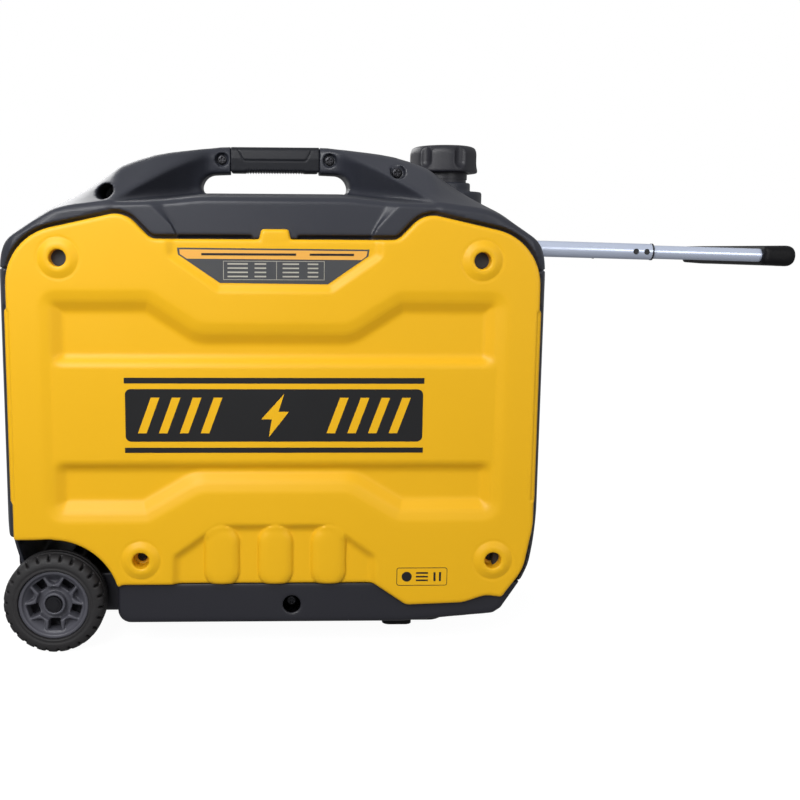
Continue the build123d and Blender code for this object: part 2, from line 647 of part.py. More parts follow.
# ---------------------------------------------------------------- engine
ENGINE_X = -15.0                # middle of the cylinder along the shaft
CASE_SIZE = (120.0, 150.0)      # crankcase, seen from above
CASE_BOTTOM = 112.0
SUMP_BOTTOM = 64.0
CHAMBER_R = 48.0
CHAMBER_X = (-55.0, 25.0)
BEARING_R = 26.0
BEARINGS = (-70.0, 28.0)
BEARING_WIDTH = 13.0
SHAFT_FIT = 0.05                # running clearance of the shaft in its bearings
CYLINDER_TILT = 55.0            # degrees from upright, towards the near side
CYLINDER = Plane(origin=(BODY_X + ENGINE_X, 0, CRANK_Z), x_dir=(1, 0, 0),
                 z_dir=(0, -sin(radians(CYLINDER_TILT)), cos(radians(CYLINDER_TILT))))
CYLINDER_START = 72.0           # distances from the crankshaft along the cylinder
HEAD_START = 128.0
VALVE_START = 144.0
BORE_R = 30.0
FIN_PITCH = 8.6
OIL_AT = (-50.0, 150.0)         # oil filler, low on the far side

with BuildPart() as crankcase:
    box_on(TOP.offset(CASE_BOTTOM), (ENGINE_X, 0), CASE_SIZE, 140, radius=14)
    box_on(TOP.offset(SUMP_BOTTOM), (ENGINE_X, 0), (104, 120), 50, radius=10)
    box_on(TOP.offset(SUMP_BOTTOM - 8), (ENGINE_X, 0), (120, 236), 9)
    disc_on(END.offset(CHAMBER_X[0]), (0, CRANK_Z), CHAMBER_R, CHAMBER_X[1] - CHAMBER_X[0],
            Mode.SUBTRACT)
    disc_on(END.offset(ENGINE_X - CASE_SIZE[0] / 2 - 1), (0, CRANK_Z), BEARING_R, 130,
            Mode.SUBTRACT)
    with BuildSketch(CYLINDER) as spigot:
        Circle(37)
    extrude(spigot.sketch, amount=110, mode=Mode.SUBTRACT)
    with BuildSketch(CYLINDER.offset(CYLINDER_START)) as flat:
        Rectangle(300, 300)
    extrude(flat.sketch, amount=100, mode=Mode.SUBTRACT)
    disc_on(SIDE.offset(-90), OIL_AT, 11, 30, Mode.SUBTRACT)
crankcase.part.label = "crankcase"
export_step(crankcase.part, "parts/crankcase.step")

with BuildPart() as main_bearings:
    for start in BEARINGS:
        ring_on(END.offset(start), (0, CRANK_Z), BEARING_R, SHAFT_R + SHAFT_FIT, BEARING_WIDTH)
main_bearings.part.label = "main_bearings"
export_step(main_bearings.part, "parts/main_bearings.step")

with BuildPart() as cylinder:
    with BuildSketch(CYLINDER.offset(CYLINDER_START)):
        Circle(BORE_R + 6)
    extrude(amount=HEAD_START - CYLINDER_START)
    for step in range(6):
        with BuildSketch(CYLINDER.offset(CYLINDER_START + 4 + FIN_PITCH * step)):
            RectangleRounded(104, 96, 14)
        extrude(amount=3)
    with BuildSketch(CYLINDER.offset(CYLINDER_START - 2)) as bore:
        Circle(BORE_R)
    extrude(bore.sketch, amount=70, mode=Mode.SUBTRACT)
cylinder.part.label = "cylinder"
export_step(cylinder.part, "parts/cylinder.step")

with BuildPart() as cylinder_head:
    with BuildSketch(CYLINDER.offset(HEAD_START)):
        RectangleRounded(92, 84, 12)
    extrude(amount=VALVE_START - HEAD_START)
cylinder_head.part.label = "cylinder_head"
export_step(cylinder_head.part, "parts/cylinder_head.step")

with BuildPart() as valve_cover:
    with BuildSketch(CYLINDER.offset(VALVE_START)):
        RectangleRounded(78, 70, 16)
    extrude(amount=14)
    chamfer(valve_cover.faces().sort_by(Axis.Z)[-1].edges(), 2)
valve_cover.part.label = "valve_cover"
export_step(valve_cover.part, "parts/valve_cover.step")

PLUG = Plane(origin=CYLINDER.from_local_coords((46, 0, HEAD_START + 8)), x_dir=(0, 1, 0),
             z_dir=(1, 0, 0))
with BuildPart() as spark_plug:
    for radius, start, length in ((9, 0, 8), (6, 8, 14), (2.5, 22, 8)):
        with BuildSketch(PLUG.offset(start)):
            Circle(radius)
        extrude(amount=length)
spark_plug.part.label = "spark_plug"
export_step(spark_plug.part, "parts/spark_plug.step")

SHAFT_X = (-72.0, 144.0)        # both ends of the crankshaft
WEBS = (-38.0, 0.0)             # where the two webs start
WEB_WIDTH = 12.0
WEB_R = 42.0
THROW = 24.0

with BuildPart() as crankshaft:
    disc_on(END.offset(SHAFT_X[0]), (0, CRANK_Z), SHAFT_R, WEBS[0] + WEB_WIDTH - SHAFT_X[0])
    disc_on(END.offset(WEBS[1] + WEB_WIDTH), (0, CRANK_Z), SHAFT_R,
            SHAFT_X[1] - WEBS[1] - WEB_WIDTH)
    for start in WEBS:
        with BuildSketch(END.offset(start)) as web:
            with Locations((0, CRANK_Z)):
                Circle(WEB_R)
            with Locations((-38, CRANK_Z), (38, CRANK_Z)):
                Rectangle(30, 90, mode=Mode.SUBTRACT)
        extrude(web.sketch, amount=WEB_WIDTH)
    disc_on(END.offset(WEBS[0] + WEB_WIDTH), (0, CRANK_Z + THROW), 13,
            WEBS[1] - WEBS[0] - WEB_WIDTH)
crankshaft.part.label = "crankshaft"
export_step(crankshaft.part, "parts/crankshaft.step")

STATOR_X = 64.0                 # start of the stator stack
STACK = 34.0
STATOR_R = 66.0
POLES = 18
ROTOR_R = 84.0
ROTOR_BACK = 108.0              # closed end of the rotor cup
FAN_X = 118.0
FAN_R = 88.0
SHROUD_X = 50.0
SHROUD_R = 100.0
RECOIL_X = 166.0                # outer end of the recoil starter

with BuildPart() as stator:
    ring_on(END.offset(45), (0, CRANK_Z), 30, SHAFT_R + 2, 55)
    with BuildSketch(END.offset(STATOR_X)) as laminations:
        with Locations((0, CRANK_Z)):
            Circle(STATOR_R)
            Circle(30, mode=Mode.SUBTRACT)
            with PolarLocations(STATOR_R - 8, POLES):
                Rectangle(20, 6, mode=Mode.SUBTRACT)
    extrude(laminations.sketch, amount=STACK)
stator.part.label = "stator"
export_step(stator.part, "parts/stator.step")

with BuildPart() as rotor:
    ring_on(END.offset(STATOR_X - 4), (0, CRANK_Z), ROTOR_R, STATOR_R + 4, 52)
    ring_on(END.offset(ROTOR_BACK), (0, CRANK_Z), ROTOR_R, SHAFT_R, 6)
    ring_on(END.offset(ROTOR_BACK - 4), (0, CRANK_Z), 26, SHAFT_R, 14)
rotor.part.label = "rotor"
export_step(rotor.part, "parts/rotor.step")

with BuildPart() as cooling_fan:
    ring_on(END.offset(FAN_X), (0, CRANK_Z), FAN_R, SHAFT_R, 3)
    with BuildSketch(END.offset(FAN_X + 3)) as blades:
        with Locations((0, CRANK_Z)):
            with PolarLocations(FAN_R - 26, 12):
                Rectangle(46, 3, rotation=25)
    extrude(blades.sketch, amount=18)
cooling_fan.part.label = "cooling_fan"
export_step(cooling_fan.part, "parts/cooling_fan.step")

with BuildPart() as fan_shroud:
    ring_on(END.offset(SHROUD_X), (0, CRANK_Z), SHROUD_R, SHROUD_R - 4, RECOIL_X - SHROUD_X)
    box_on(SIDE.offset(-SHROUD_R - 10), GRIP_AT, (16, 16), 30, Mode.SUBTRACT)
    box_on(SIDE.offset(SHROUD_R - 20), GRIP_AT, (16, 16), 30, Mode.SUBTRACT)
fan_shroud.part.label = "fan_shroud"
export_step(fan_shroud.part, "parts/fan_shroud.step")

RECOIL_SHAFT_R = 9.0
with BuildPart() as recoil_housing:
    ring_on(END.offset(RECOIL_X), (0, CRANK_Z), SHROUD_R, RECOIL_SHAFT_R, 4)
    with BuildSketch(END.offset(RECOIL_X - 1)) as vents:
        with Locations((0, CRANK_Z)):
            with PolarLocations(74, 12):
                SlotOverall(34, 10)
    extrude(vents.sketch, amount=6, mode=Mode.SUBTRACT)
    disc_on(END.offset(RECOIL_X - 18), (0, CRANK_Z), RECOIL_SHAFT_R, 22)
recoil_housing.part.label = "recoil_housing"
export_step(recoil_housing.part, "parts/recoil_housing.step")

PULLEY_R = 44.0
with BuildPart() as recoil_pulley:
    ring_on(END.offset(RECOIL_X - 16), (0, CRANK_Z), PULLEY_R, RECOIL_SHAFT_R + SHAFT_FIT, 12)
    with BuildSketch(END.offset(RECOIL_X - 17)) as pulley_windows:
        with Locations((0, CRANK_Z)):
            with PolarLocations(27, 6):
                Circle(8)
    extrude(pulley_windows.sketch, amount=14, mode=Mode.SUBTRACT)
recoil_pulley.part.label = "recoil_pulley"
export_step(recoil_pulley.part, "parts/recoil_pulley.step")

ROPE_R = 2.5
with BuildPart() as recoil_rope:
    disc_on(SIDE.offset(-166), GRIP_AT, ROPE_R, 306)
recoil_rope.part.label = "recoil_rope"
export_step(recoil_rope.part, "parts/recoil_rope.step")

with BuildPart() as recoil_grip:
    with BuildSketch(SIDE.offset(-174.5)):
        with Locations(GRIP_AT):
            RectangleRounded(80, 26, 10)
    extrude(amount=6.5)
    disc_on(SIDE.offset(-170), GRIP_AT, ROPE_R, 4, Mode.SUBTRACT)
recoil_grip.part.label = "recoil_grip"
export_step(recoil_grip.part, "parts/recoil_grip.step")

with BuildPart() as engine_mounts:
    with BuildSketch(TOP.offset(PAN_FLOOR)):
        with Locations((ENGINE_X, 0)):
            with GridLocations(90, 206, 2, 2):
                Circle(14)
    extrude(amount=20)
engine_mounts.part.label = "engine_mounts"
export_step(engine_mounts.part, "parts/engine_mounts.step")

with BuildPart() as oil_filler_cap:
    disc_on(SIDE.offset(-88), OIL_AT, 17, 12.5)
    disc_on(SIDE.offset(-75.4), OIL_AT, 10.5, 14)
    box_on(SIDE.offset(-98), OIL_AT, (30, 6), 12)
oil_filler_cap.part.label = "oil_filler_cap"
export_step(oil_filler_cap.part, "parts/oil_filler_cap.step")


# ---------------------------------------------------------------- intake and exhaust
THROAT_Z = 286.0                # intake passage
THROAT_R = 13.0
FILTER_AT = (ENGINE_X, 79.0)
FILTER_BOTTOM = 256.0
FILTER_SIZE = (130.0, 134.0)
FILTER_WALL = 3.0

with BuildPart() as carburettor:
    box_on(TOP.offset(268), (ENGINE_X, -9), (44, 40), 34, radius=6)
    disc_on(TOP.offset(252), (ENGINE_X, -9), 17, 16)
    disc_on(SIDE.offset(-12), (ENGINE_X, THROAT_Z), THROAT_R, 36, Mode.SUBTRACT)
carburettor.part.label = "carburettor"
export_step(carburettor.part, "parts/carburettor.step")

with BuildPart() as air_filter_box:
    box_on(TOP.offset(FILTER_BOTTOM), FILTER_AT, FILTER_SIZE, 70, radius=12)
    box_on(TOP.offset(FILTER_BOTTOM + FILTER_WALL), FILTER_AT,
           (FILTER_SIZE[0] - 2 * FILTER_WALL, FILTER_SIZE[1] - 2 * FILTER_WALL),
           70 - 2 * FILTER_WALL, Mode.SUBTRACT, radius=12 - FILTER_WALL)
    disc_on(SIDE.offset(-20), (ENGINE_X, THROAT_Z), THROAT_R, 14, Mode.SUBTRACT)
air_filter_box.part.label = "air_filter_box"
export_step(air_filter_box.part, "parts/air_filter_box.step")

with BuildPart() as air_filter_element:
    box_on(TOP.offset(FILTER_BOTTOM + FILTER_WALL + 0.5), (ENGINE_X, 90), (110, 60), 60, radius=6)
air_filter_element.part.label = "air_filter_element"
export_step(air_filter_element.part, "parts/air_filter_element.step")

MUFFLER_AT = (-180.0, 0.0)
MUFFLER_SIZE = (100.0, 190.0)
MUFFLER_BOTTOM = 140.0
MUFFLER_HEIGHT = 160.0
SHIELD_GAP = 12.0               # air between the silencer and its heat shield
SHIELD_SHEET = 1.5
INLET_AT = (-40.0, 240.0)       # exhaust gas comes in from the engine here

with BuildPart() as muffler:
    box_on(TOP.offset(MUFFLER_BOTTOM), MUFFLER_AT, MUFFLER_SIZE, MUFFLER_HEIGHT, radius=24)
    box_on(TOP.offset(MUFFLER_BOTTOM + SHEET), MUFFLER_AT,
           (MUFFLER_SIZE[0] - 2 * SHEET, MUFFLER_SIZE[1] - 2 * SHEET),
           MUFFLER_HEIGHT - 2 * SHEET, Mode.SUBTRACT, radius=24 - SHEET)
    with BuildSketch(END.offset(-262)) as tail:
        with Locations((EXHAUST_Y, EXHAUST_Z)):
            Circle(EXHAUST_R)
    extrude(tail.sketch, amount=40)
    disc_on(END.offset(-263), (EXHAUST_Y, EXHAUST_Z), EXHAUST_R - 3, 30, Mode.SUBTRACT)
    disc_on(END.offset(-132), INLET_AT, 14, 50)
muffler.part.label = "muffler"
export_step(muffler.part, "parts/muffler.step")

SHIELD_SIZE = (MUFFLER_SIZE[0] + 2 * SHIELD_GAP, MUFFLER_SIZE[1] + 2 * SHIELD_GAP)

with BuildPart() as heat_shield:
    box_on(TOP.offset(MUFFLER_BOTTOM - 4), MUFFLER_AT, SHIELD_SIZE, MUFFLER_HEIGHT + 12,
           radius=30)
    box_on(TOP.offset(MUFFLER_BOTTOM - 10), MUFFLER_AT,
           (SHIELD_SIZE[0] - 2 * SHIELD_SHEET, SHIELD_SIZE[1] - 2 * SHIELD_SHEET), 190,
           Mode.SUBTRACT, radius=30 - SHIELD_SHEET)
    disc_on(END.offset(-250), (EXHAUST_Y, EXHAUST_Z), 22, 60, Mode.SUBTRACT)
    disc_on(END.offset(-140), INLET_AT, 18, 40, Mode.SUBTRACT)
heat_shield.part.label = "heat_shield"
export_step(heat_shield.part, "parts/heat_shield.step")

with BuildPart() as exhaust_outlet:
    ring_on(END.offset(-296), (EXHAUST_Y, EXHAUST_Z), 36, EXHAUST_R - 3, 6)
    ring_on(END.offset(-292), (EXHAUST_Y, EXHAUST_Z), EXHAUST_R + 4, EXHAUST_R, 40)
    with BuildSketch(END.offset(-291)) as screen:
        with Locations((EXHAUST_Y, EXHAUST_Z)):
            Circle(EXHAUST_R)
            with GridLocations(5, 5, 5, 5):
                Rectangle(3.4, 3.4, mode=Mode.SUBTRACT)
    extrude(screen.sketch, amount=1.2)
exhaust_outlet.part.label = "exhaust_outlet"
export_step(exhaust_outlet.part, "parts/exhaust_outlet.step")


# ---------------------------------------------------------------- inverter and control panel
INVERTER_X = 226.0
HEATSINK_FINS = 16
FIN_STEP = 15.0

with BuildPart() as inverter_module:
    box_on(TOP.offset(82), (INVERTER_X, 0), (80, 236), 24)
    for step in range(HEATSINK_FINS):
        fin_y = (step - (HEATSINK_FINS - 1) / 2) * FIN_STEP
        box_on(TOP.offset(105), (INVERTER_X, fin_y), (80, 3), 36)
inverter_module.part.label = "inverter_module"
export_step(inverter_module.part, "parts/inverter_module.step")

OUTLETS = [(-82.0, 212.0), (-18.0, 212.0)]
OUTLET_R = 20.5
DC_AT = (46.0, 212.0)
USB_AT = (90.0, 212.0)
DISPLAY_AT = (-72.0, 345.0)
ROCKER_AT = (-82.0, 285.0)
BREAKERS = [(-42.0, 285.0), (-16.0, 285.0)]
KNOB_AT = (70.0, 310.0)
KNOB_R = 27.0
EARTH_AT = (92.0, 165.0)

with BuildPart() as control_panel:
    plate = (CONTROL_SIZE[0] - 2, CONTROL_SIZE[1] - 2)
    box_on(END.offset(PANEL_X - 3), (0, CONTROL_Z), plate, 15, radius=15)
    box_on(END.offset(PANEL_X), (0, CONTROL_Z), (plate[0] - 6, plate[1] - 6), 12,
           Mode.SUBTRACT, radius=12)
    cut = END.offset(PANEL_X - 5)
    for spot in OUTLETS:
        disc_on(cut, spot, OUTLET_R + 3, 8, Mode.SUBTRACT)
    disc_on(cut, DC_AT, 14, 8, Mode.SUBTRACT)
    box_on(cut, USB_AT, (30, 16), 8, Mode.SUBTRACT)
    box_on(cut, DISPLAY_AT, (56, 30), 8, Mode.SUBTRACT)
    box_on(END.offset(PANEL_X), ROCKER_AT, (34, 26), 2.5, radius=3)
    box_on(END.offset(PANEL_X - 14), ROCKER_AT, (26, 18), 14)
    box_on(END.offset(PANEL_X - 9), ROCKER_AT, (22, 14), 20, Mode.SUBTRACT)
    for spot in BREAKERS:
        disc_on(cut, spot, 6 + CLEAR, 8, Mode.SUBTRACT)
    disc_on(cut, KNOB_AT, 6.05, 8, Mode.SUBTRACT)
    disc_on(cut, EARTH_AT, 4, 8, Mode.SUBTRACT)
control_panel.part.label = "control_panel"
export_step(control_panel.part, "parts/control_panel.step")

with BuildPart() as ac_outlets:
    for spot in OUTLETS:
        disc_on(END.offset(PANEL_X - 34), spot, OUTLET_R + 3, 36)
        box_on(END.offset(PANEL_X), spot, (56, 56), 3, radius=6)
        disc_on(END.offset(PANEL_X - 14), spot, OUTLET_R, 30, Mode.SUBTRACT)
        for side in (-1, 1):
            disc_on(END.offset(PANEL_X - 30), (spot[0] + side * 9.5, spot[1]), 2.8, 20,
                    Mode.SUBTRACT)
ac_outlets.part.label = "ac_outlets"
export_step(ac_outlets.part, "parts/ac_outlets.step")

LID_X = PANEL_X + 3 + CLEAR
LID_PIVOT = (LID_X + 3.5, 25.0)  # hinge pin along X, and above the middle of the socket


def outlet_lid_form(spot):
    """A spring lid over a socket, with its hinge knuckle along the upper edge."""
    with BuildPart() as lid:
        box_on(END.offset(LID_X), (spot[0], spot[1] - 2), (50, 44), 4, radius=6)
        box_on(END.offset(LID_X), (spot[0], spot[1] + 19.5), (38, 7), 4)
        with BuildSketch(SIDE.offset(-spot[0] - 20)) as knuckle:
            with Locations((LID_PIVOT[0], spot[1] + LID_PIVOT[1])):
                Circle(3.5)
                Circle(1.55, mode=Mode.SUBTRACT)
        extrude(knuckle.sketch, amount=40)
    return lid.part


with BuildPart() as outlet_lid_a:
    add(outlet_lid_form(OUTLETS[0]))
outlet_lid_a.part.label = "outlet_lid_a"
export_step(outlet_lid_a.part, "parts/outlet_lid_a.step")

with BuildPart() as outlet_lid_b:
    add(outlet_lid_form(OUTLETS[1]))
outlet_lid_b.part.label = "outlet_lid_b"
export_step(outlet_lid_b.part, "parts/outlet_lid_b.step")

with BuildPart() as lid_pins:
    for spot in OUTLETS:
        disc_on(SIDE.offset(-spot[0] - 26), (LID_PIVOT[0], spot[1] + LID_PIVOT[1]), 1.5, 52)
        for side in (-1, 1):
            box_on(SIDE.offset(-spot[0] + side * 23.5 - 2.5),
                   (LID_X + 2.3, spot[1] + LID_PIVOT[1]), (5.4, 4.4), 5)
lid_pins.part.label = "lid_pins"
export_step(lid_pins.part, "parts/lid_pins.step")

with BuildPart() as dc_sockets:
    ring_on(END.offset(PANEL_X - 36), DC_AT, 14, 11, 36)
    ring_on(END.offset(PANEL_X), DC_AT, 19, 11, 3)
    disc_on(END.offset(PANEL_X - 38), DC_AT, 14, 3)
    box_on(END.offset(PANEL_X - 16), USB_AT, (30, 16), 16)
    box_on(END.offset(PANEL_X), USB_AT, (38, 24), 2, radius=4)
    for side in (-1, 1):
        box_on(END.offset(PANEL_X - 12), (USB_AT[0], USB_AT[1] + side * 5), (12.4, 4.8), 20,
               Mode.SUBTRACT)
dc_sockets.part.label = "dc_sockets"
export_step(dc_sockets.part, "parts/dc_sockets.step")

with BuildPart() as display:
    box_on(END.offset(PANEL_X - 10), DISPLAY_AT, (56, 30), 10)
    box_on(END.offset(PANEL_X), DISPLAY_AT, (64, 38), 2, radius=4)
display.part.label = "display"
export_step(display.part, "parts/display.step")

with BuildPart() as economy_rocker:
    with BuildSketch(SIDE.offset(-ROCKER_AT[0] - 10.4)) as rocker_side:
        with BuildLine():
            Polyline((PANEL_X - 2, ROCKER_AT[1] - 5.4), (PANEL_X + 4, ROCKER_AT[1] - 6.2),
                     (PANEL_X + 1.8, ROCKER_AT[1]), (PANEL_X + 4, ROCKER_AT[1] + 6.2),
                     (PANEL_X - 2, ROCKER_AT[1] + 5.4), close=True)
        make_face()
    extrude(rocker_side.sketch, amount=20.8)
economy_rocker.part.label = "economy_rocker"
export_step(economy_rocker.part, "parts/economy_rocker.step")


def breaker_form(spot):
    """A reset button that pops out of the panel."""
    with BuildPart() as button:
        disc_on(END.offset(PANEL_X - 6), spot, 6, 11)
    return button.part


with BuildPart() as breaker_a:
    add(breaker_form(BREAKERS[0]))
breaker_a.part.label = "breaker_a"
export_step(breaker_a.part, "parts/breaker_a.step")

with BuildPart() as breaker_b:
    add(breaker_form(BREAKERS[1]))
breaker_b.part.label = "breaker_b"
export_step(breaker_b.part, "parts/breaker_b.step")

with BuildPart() as engine_switch:
    disc_on(END.offset(PANEL_X + CLEAR), KNOB_AT, KNOB_R, 7)
    box_on(END.offset(PANEL_X + 7), KNOB_AT, (13, 50), 9, radius=6)
    disc_on(END.offset(PANEL_X - 12), KNOB_AT, 6, 13)
engine_switch.part.label = "engine_switch"
export_step(engine_switch.part, "parts/engine_switch.step")

with BuildPart() as earth_terminal:
    disc_on(END.offset(PANEL_X - 10), EARTH_AT, 4, 30)
    with BuildSketch(END.offset(PANEL_X)) as nut:
        with Locations(EARTH_AT):
            RegularPolygon(8, 6)
    extrude(nut.sketch, amount=6)
earth_terminal.part.label = "earth_terminal"
export_step(earth_terminal.part, "parts/earth_terminal.step")


# ---------------------------------------------------------------- service door
DOOR_FACE = 173.0

with BuildPart() as service_door:
    box_on(SIDE.offset(-DOOR_FACE), DOOR_AT,
           (DOOR_SIZE[0] - 2, DOOR_SIZE[1] - 2), 5, radius=9)
    box_on(SIDE.offset(-DOOR_FACE), (DOOR_AT[0] + 66, DOOR_AT[1]), (10, 30), 2.5,
           Mode.SUBTRACT, radius=4)
service_door.part.label = "service_door"
export_step(service_door.part, "parts/service_door.step")
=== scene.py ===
import json
from itertools import product
from math import cos, pi, radians, sin, tan

import bmesh
import bpy
import numpy as np
from mathutils import Matrix, Vector


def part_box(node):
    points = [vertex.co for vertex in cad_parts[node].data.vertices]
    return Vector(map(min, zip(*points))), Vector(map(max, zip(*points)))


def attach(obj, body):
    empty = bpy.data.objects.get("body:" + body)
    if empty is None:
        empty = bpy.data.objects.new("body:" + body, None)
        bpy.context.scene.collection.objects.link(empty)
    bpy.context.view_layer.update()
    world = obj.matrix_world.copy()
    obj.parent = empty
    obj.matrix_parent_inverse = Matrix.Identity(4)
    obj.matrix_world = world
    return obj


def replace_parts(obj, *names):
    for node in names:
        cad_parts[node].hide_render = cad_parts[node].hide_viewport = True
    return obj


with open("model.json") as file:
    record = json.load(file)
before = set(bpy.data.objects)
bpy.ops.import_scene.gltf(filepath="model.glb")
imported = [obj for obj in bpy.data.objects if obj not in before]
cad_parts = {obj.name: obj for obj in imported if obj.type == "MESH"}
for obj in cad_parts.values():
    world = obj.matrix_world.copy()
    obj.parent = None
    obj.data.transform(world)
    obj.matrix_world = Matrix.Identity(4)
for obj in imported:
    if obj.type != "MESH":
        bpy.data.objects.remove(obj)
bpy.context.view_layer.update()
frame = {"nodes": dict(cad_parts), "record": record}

# Inverter generator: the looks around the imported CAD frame.
# Shapes are worked out in millimetres, X from the middle of the body, and set in metres.
MM = 0.001
COVER_LOW, COVER_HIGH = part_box("side_cover_near")
BODY_X = (COVER_LOW[0] + COVER_HIGH[0]) / 2 / MM


# ---------------------------------------------------------------- meshes from smooth fields
def smooth_max(a, b, blend):
    """The larger of two fields, rounded over where they meet."""
    return np.maximum(a, b) + np.maximum(blend - np.abs(a - b), 0.0) ** 2 / (4.0 * blend)


def smooth_min(a, b, blend):
    """The smaller of two fields, with a fillet where they meet."""
    return -smooth_max(-a, -b, blend)


def ramp(value, width, blend):
    """0 below 0 and 1 above width, straight between, with both corners softened."""
    lower = smooth_max(value, np.zeros_like(value), blend)
    return smooth_min(lower, np.full_like(value, width), blend) / width


def smooth_step(value, start, end):
    t = np.clip((value - start) / (end - start), 0.0, 1.0)
    return t * t * (3.0 - 2.0 * t)


def rounded(points, radii):
    """A closed outline whose corners are rounded: a list of points along lines and arcs."""
    out = []
    count = len(points)
    for i, radius in enumerate(radii):
        here = Vector(points[i])
        to_last = (Vector(points[i - 1]) - here).normalized()
        to_next = (Vector(points[(i + 1) % count]) - here).normalized()
        half = to_last.angle(to_next) / 2
        if radius < 0.01 or half > radians(89.5):
            out.append(tuple(here))
            continue
        reach = radius / tan(half)
        centre = here + (to_last + to_next).normalized() * (radius / sin(half))
        first = here + to_last * reach - centre
        last = here + to_next * reach - centre
        turn = first.angle_signed(last) if first.length else 0.0
        steps = max(2, int(abs(turn) / radians(7)) + 1)
        for k in range(steps + 1):
            spin = -turn * k / steps
            x = first.x * cos(spin) - first.y * sin(spin)
            y = first.x * sin(spin) + first.y * cos(spin)
            out.append((centre.x + x, centre.y + y))
    return out


def distance(points, u, v):
    """Signed distance to a closed outline, negative inside."""
    u, v = np.broadcast_arrays(u, v)
    best = np.full(u.shape, 1e9, dtype=np.float64)
    odd = np.zeros(u.shape, dtype=bool)
    for i, (bu, bv) in enumerate(points):
        au, av = points[i - 1]
        du, dv = bu - au, bv - av
        length = du * du + dv * dv
        if length < 1e-9:
            continue
        t = np.clip(((u - au) * du + (v - av) * dv) / length, 0.0, 1.0)
        best = np.minimum(best, (u - au - t * du) ** 2 + (v - av - t * dv) ** 2)
        if av != bv:
            crosses = (av > v) != (bv > v)
            odd ^= crosses & (u < au + (v - av) * du / dv)
    best = np.sqrt(best)
    return np.where(odd, -best, best)


CORNERS = list(product((0, 1), repeat=3))
CELL_EDGES = [(a, b) for a in CORNERS for b in CORNERS
              if a < b and sum(abs(p - q) for p, q in zip(a, b)) == 1]


def surface(field, low, high, cell):
    """Points and four-sided faces of the surface where a field is 0; it is negative inside."""
    axes = [np.arange(lo - cell, hi + 2 * cell, cell) for lo, hi in zip(low, high)]
    values = field(axes[0][:, None, None], axes[1][None, :, None], axes[2][None, None, :])
    values = np.broadcast_to(values, [len(a) for a in axes])
    inside = values < 0
    shape = tuple(n - 1 for n in values.shape)
    total = np.zeros(shape, dtype=np.uint8)
    for i, j, k in CORNERS:
        total += inside[i:shape[0] + i, j:shape[1] + j, k:shape[2] + k]
    active = (total > 0) & (total < 8)
    cells = np.argwhere(active)
    number = np.full(shape, -1, dtype=np.int64)
    number[active] = np.arange(len(cells))
    place = np.zeros((len(cells), 3))
    hits = np.zeros(len(cells))
    for a, b in CELL_EDGES:
        va = values[tuple((cells + a).T)]
        vb = values[tuple((cells + b).T)]
        cut = (va < 0) != (vb < 0)
        t = va[cut] / (va[cut] - vb[cut])
        place[cut] += np.array(a) + t[:, None] * (np.array(b) - np.array(a))
        hits[cut] += 1
    start = np.array([a[0] for a in axes])
    points = start + (cells + place / hits[:, None]) * cell
    faces = []
    for axis in range(3):
        u, v = [(1, 2), (2, 0), (0, 1)][axis]
        first = [slice(1, -1)] * 3
        second = [slice(1, -1)] * 3
        first[axis] = slice(0, -1)
        second[axis] = slice(1, None)
        lower = inside[tuple(first)]
        upper = inside[tuple(second)]
        for enters in (True, False):
            edges = np.argwhere(lower & ~upper if enters else ~lower & upper)
            edges = edges + 1
            edges[:, axis] -= 1
            step_u = np.zeros(3, dtype=np.int64)
            step_v = np.zeros(3, dtype=np.int64)
            step_u[u] = 1
            step_v[v] = 1
            ring = [edges - step_u - step_v, edges - step_v, edges, edges - step_u]
            if not enters:
                ring.reverse()
            faces.append(np.stack([number[tuple(c.T)] for c in ring], axis=1))
    return points, np.concatenate(faces)


def make_piece(name, points, faces, material, body, smooth=True):
    """A piece from points in millimetres about the middle of the body."""
    mesh = bpy.data.meshes.new(name)
    placed = (np.asarray(points, dtype=np.float64) + [BODY_X, 0, 0]) * MM
    mesh.vertices.add(len(placed))
    mesh.vertices.foreach_set("co", placed.ravel())
    faces = [list(f) for f in faces] if not isinstance(faces, np.ndarray) else faces
    if isinstance(faces, np.ndarray):
        corners = faces.shape[1]
        mesh.loops.add(faces.size)
        mesh.polygons.add(len(faces))
        mesh.polygons.foreach_set("loop_start", np.arange(0, faces.size, corners))
        mesh.loops.foreach_set("vertex_index", faces.ravel())
    else:
        mesh.loops.add(sum(len(f) for f in faces))
        mesh.polygons.add(len(faces))
        starts = np.cumsum([0] + [len(f) for f in faces[:-1]])
        mesh.polygons.foreach_set("loop_start", starts)
        mesh.loops.foreach_set("vertex_index", np.concatenate(faces))
    mesh.update(calc_edges=True)
    mesh.validate()
    mesh.polygons.foreach_set("use_smooth", [smooth] * len(mesh.polygons))
    mesh.materials.append(material)
    piece = bpy.data.objects.new(name, mesh)
    bpy.context.scene.collection.objects.link(piece)
    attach(piece, body)
    return piece


def mould(name, field, low, high, cell, material, body, flip_y=False):
    """A moulded piece from a field."""
    points, faces = surface(field, low, high, cell)
    if flip_y:
        points = points * [1, -1, 1]
        faces = faces[:, ::-1]
    return make_piece(name, points, faces, material, body)


# ---------------------------------------------------------------- materials
def node_material(name):
    material = bpy.data.materials.new(name)
    material.use_nodes = True
    tree = material.node_tree
    return material, tree, tree.nodes["Principled BSDF"]


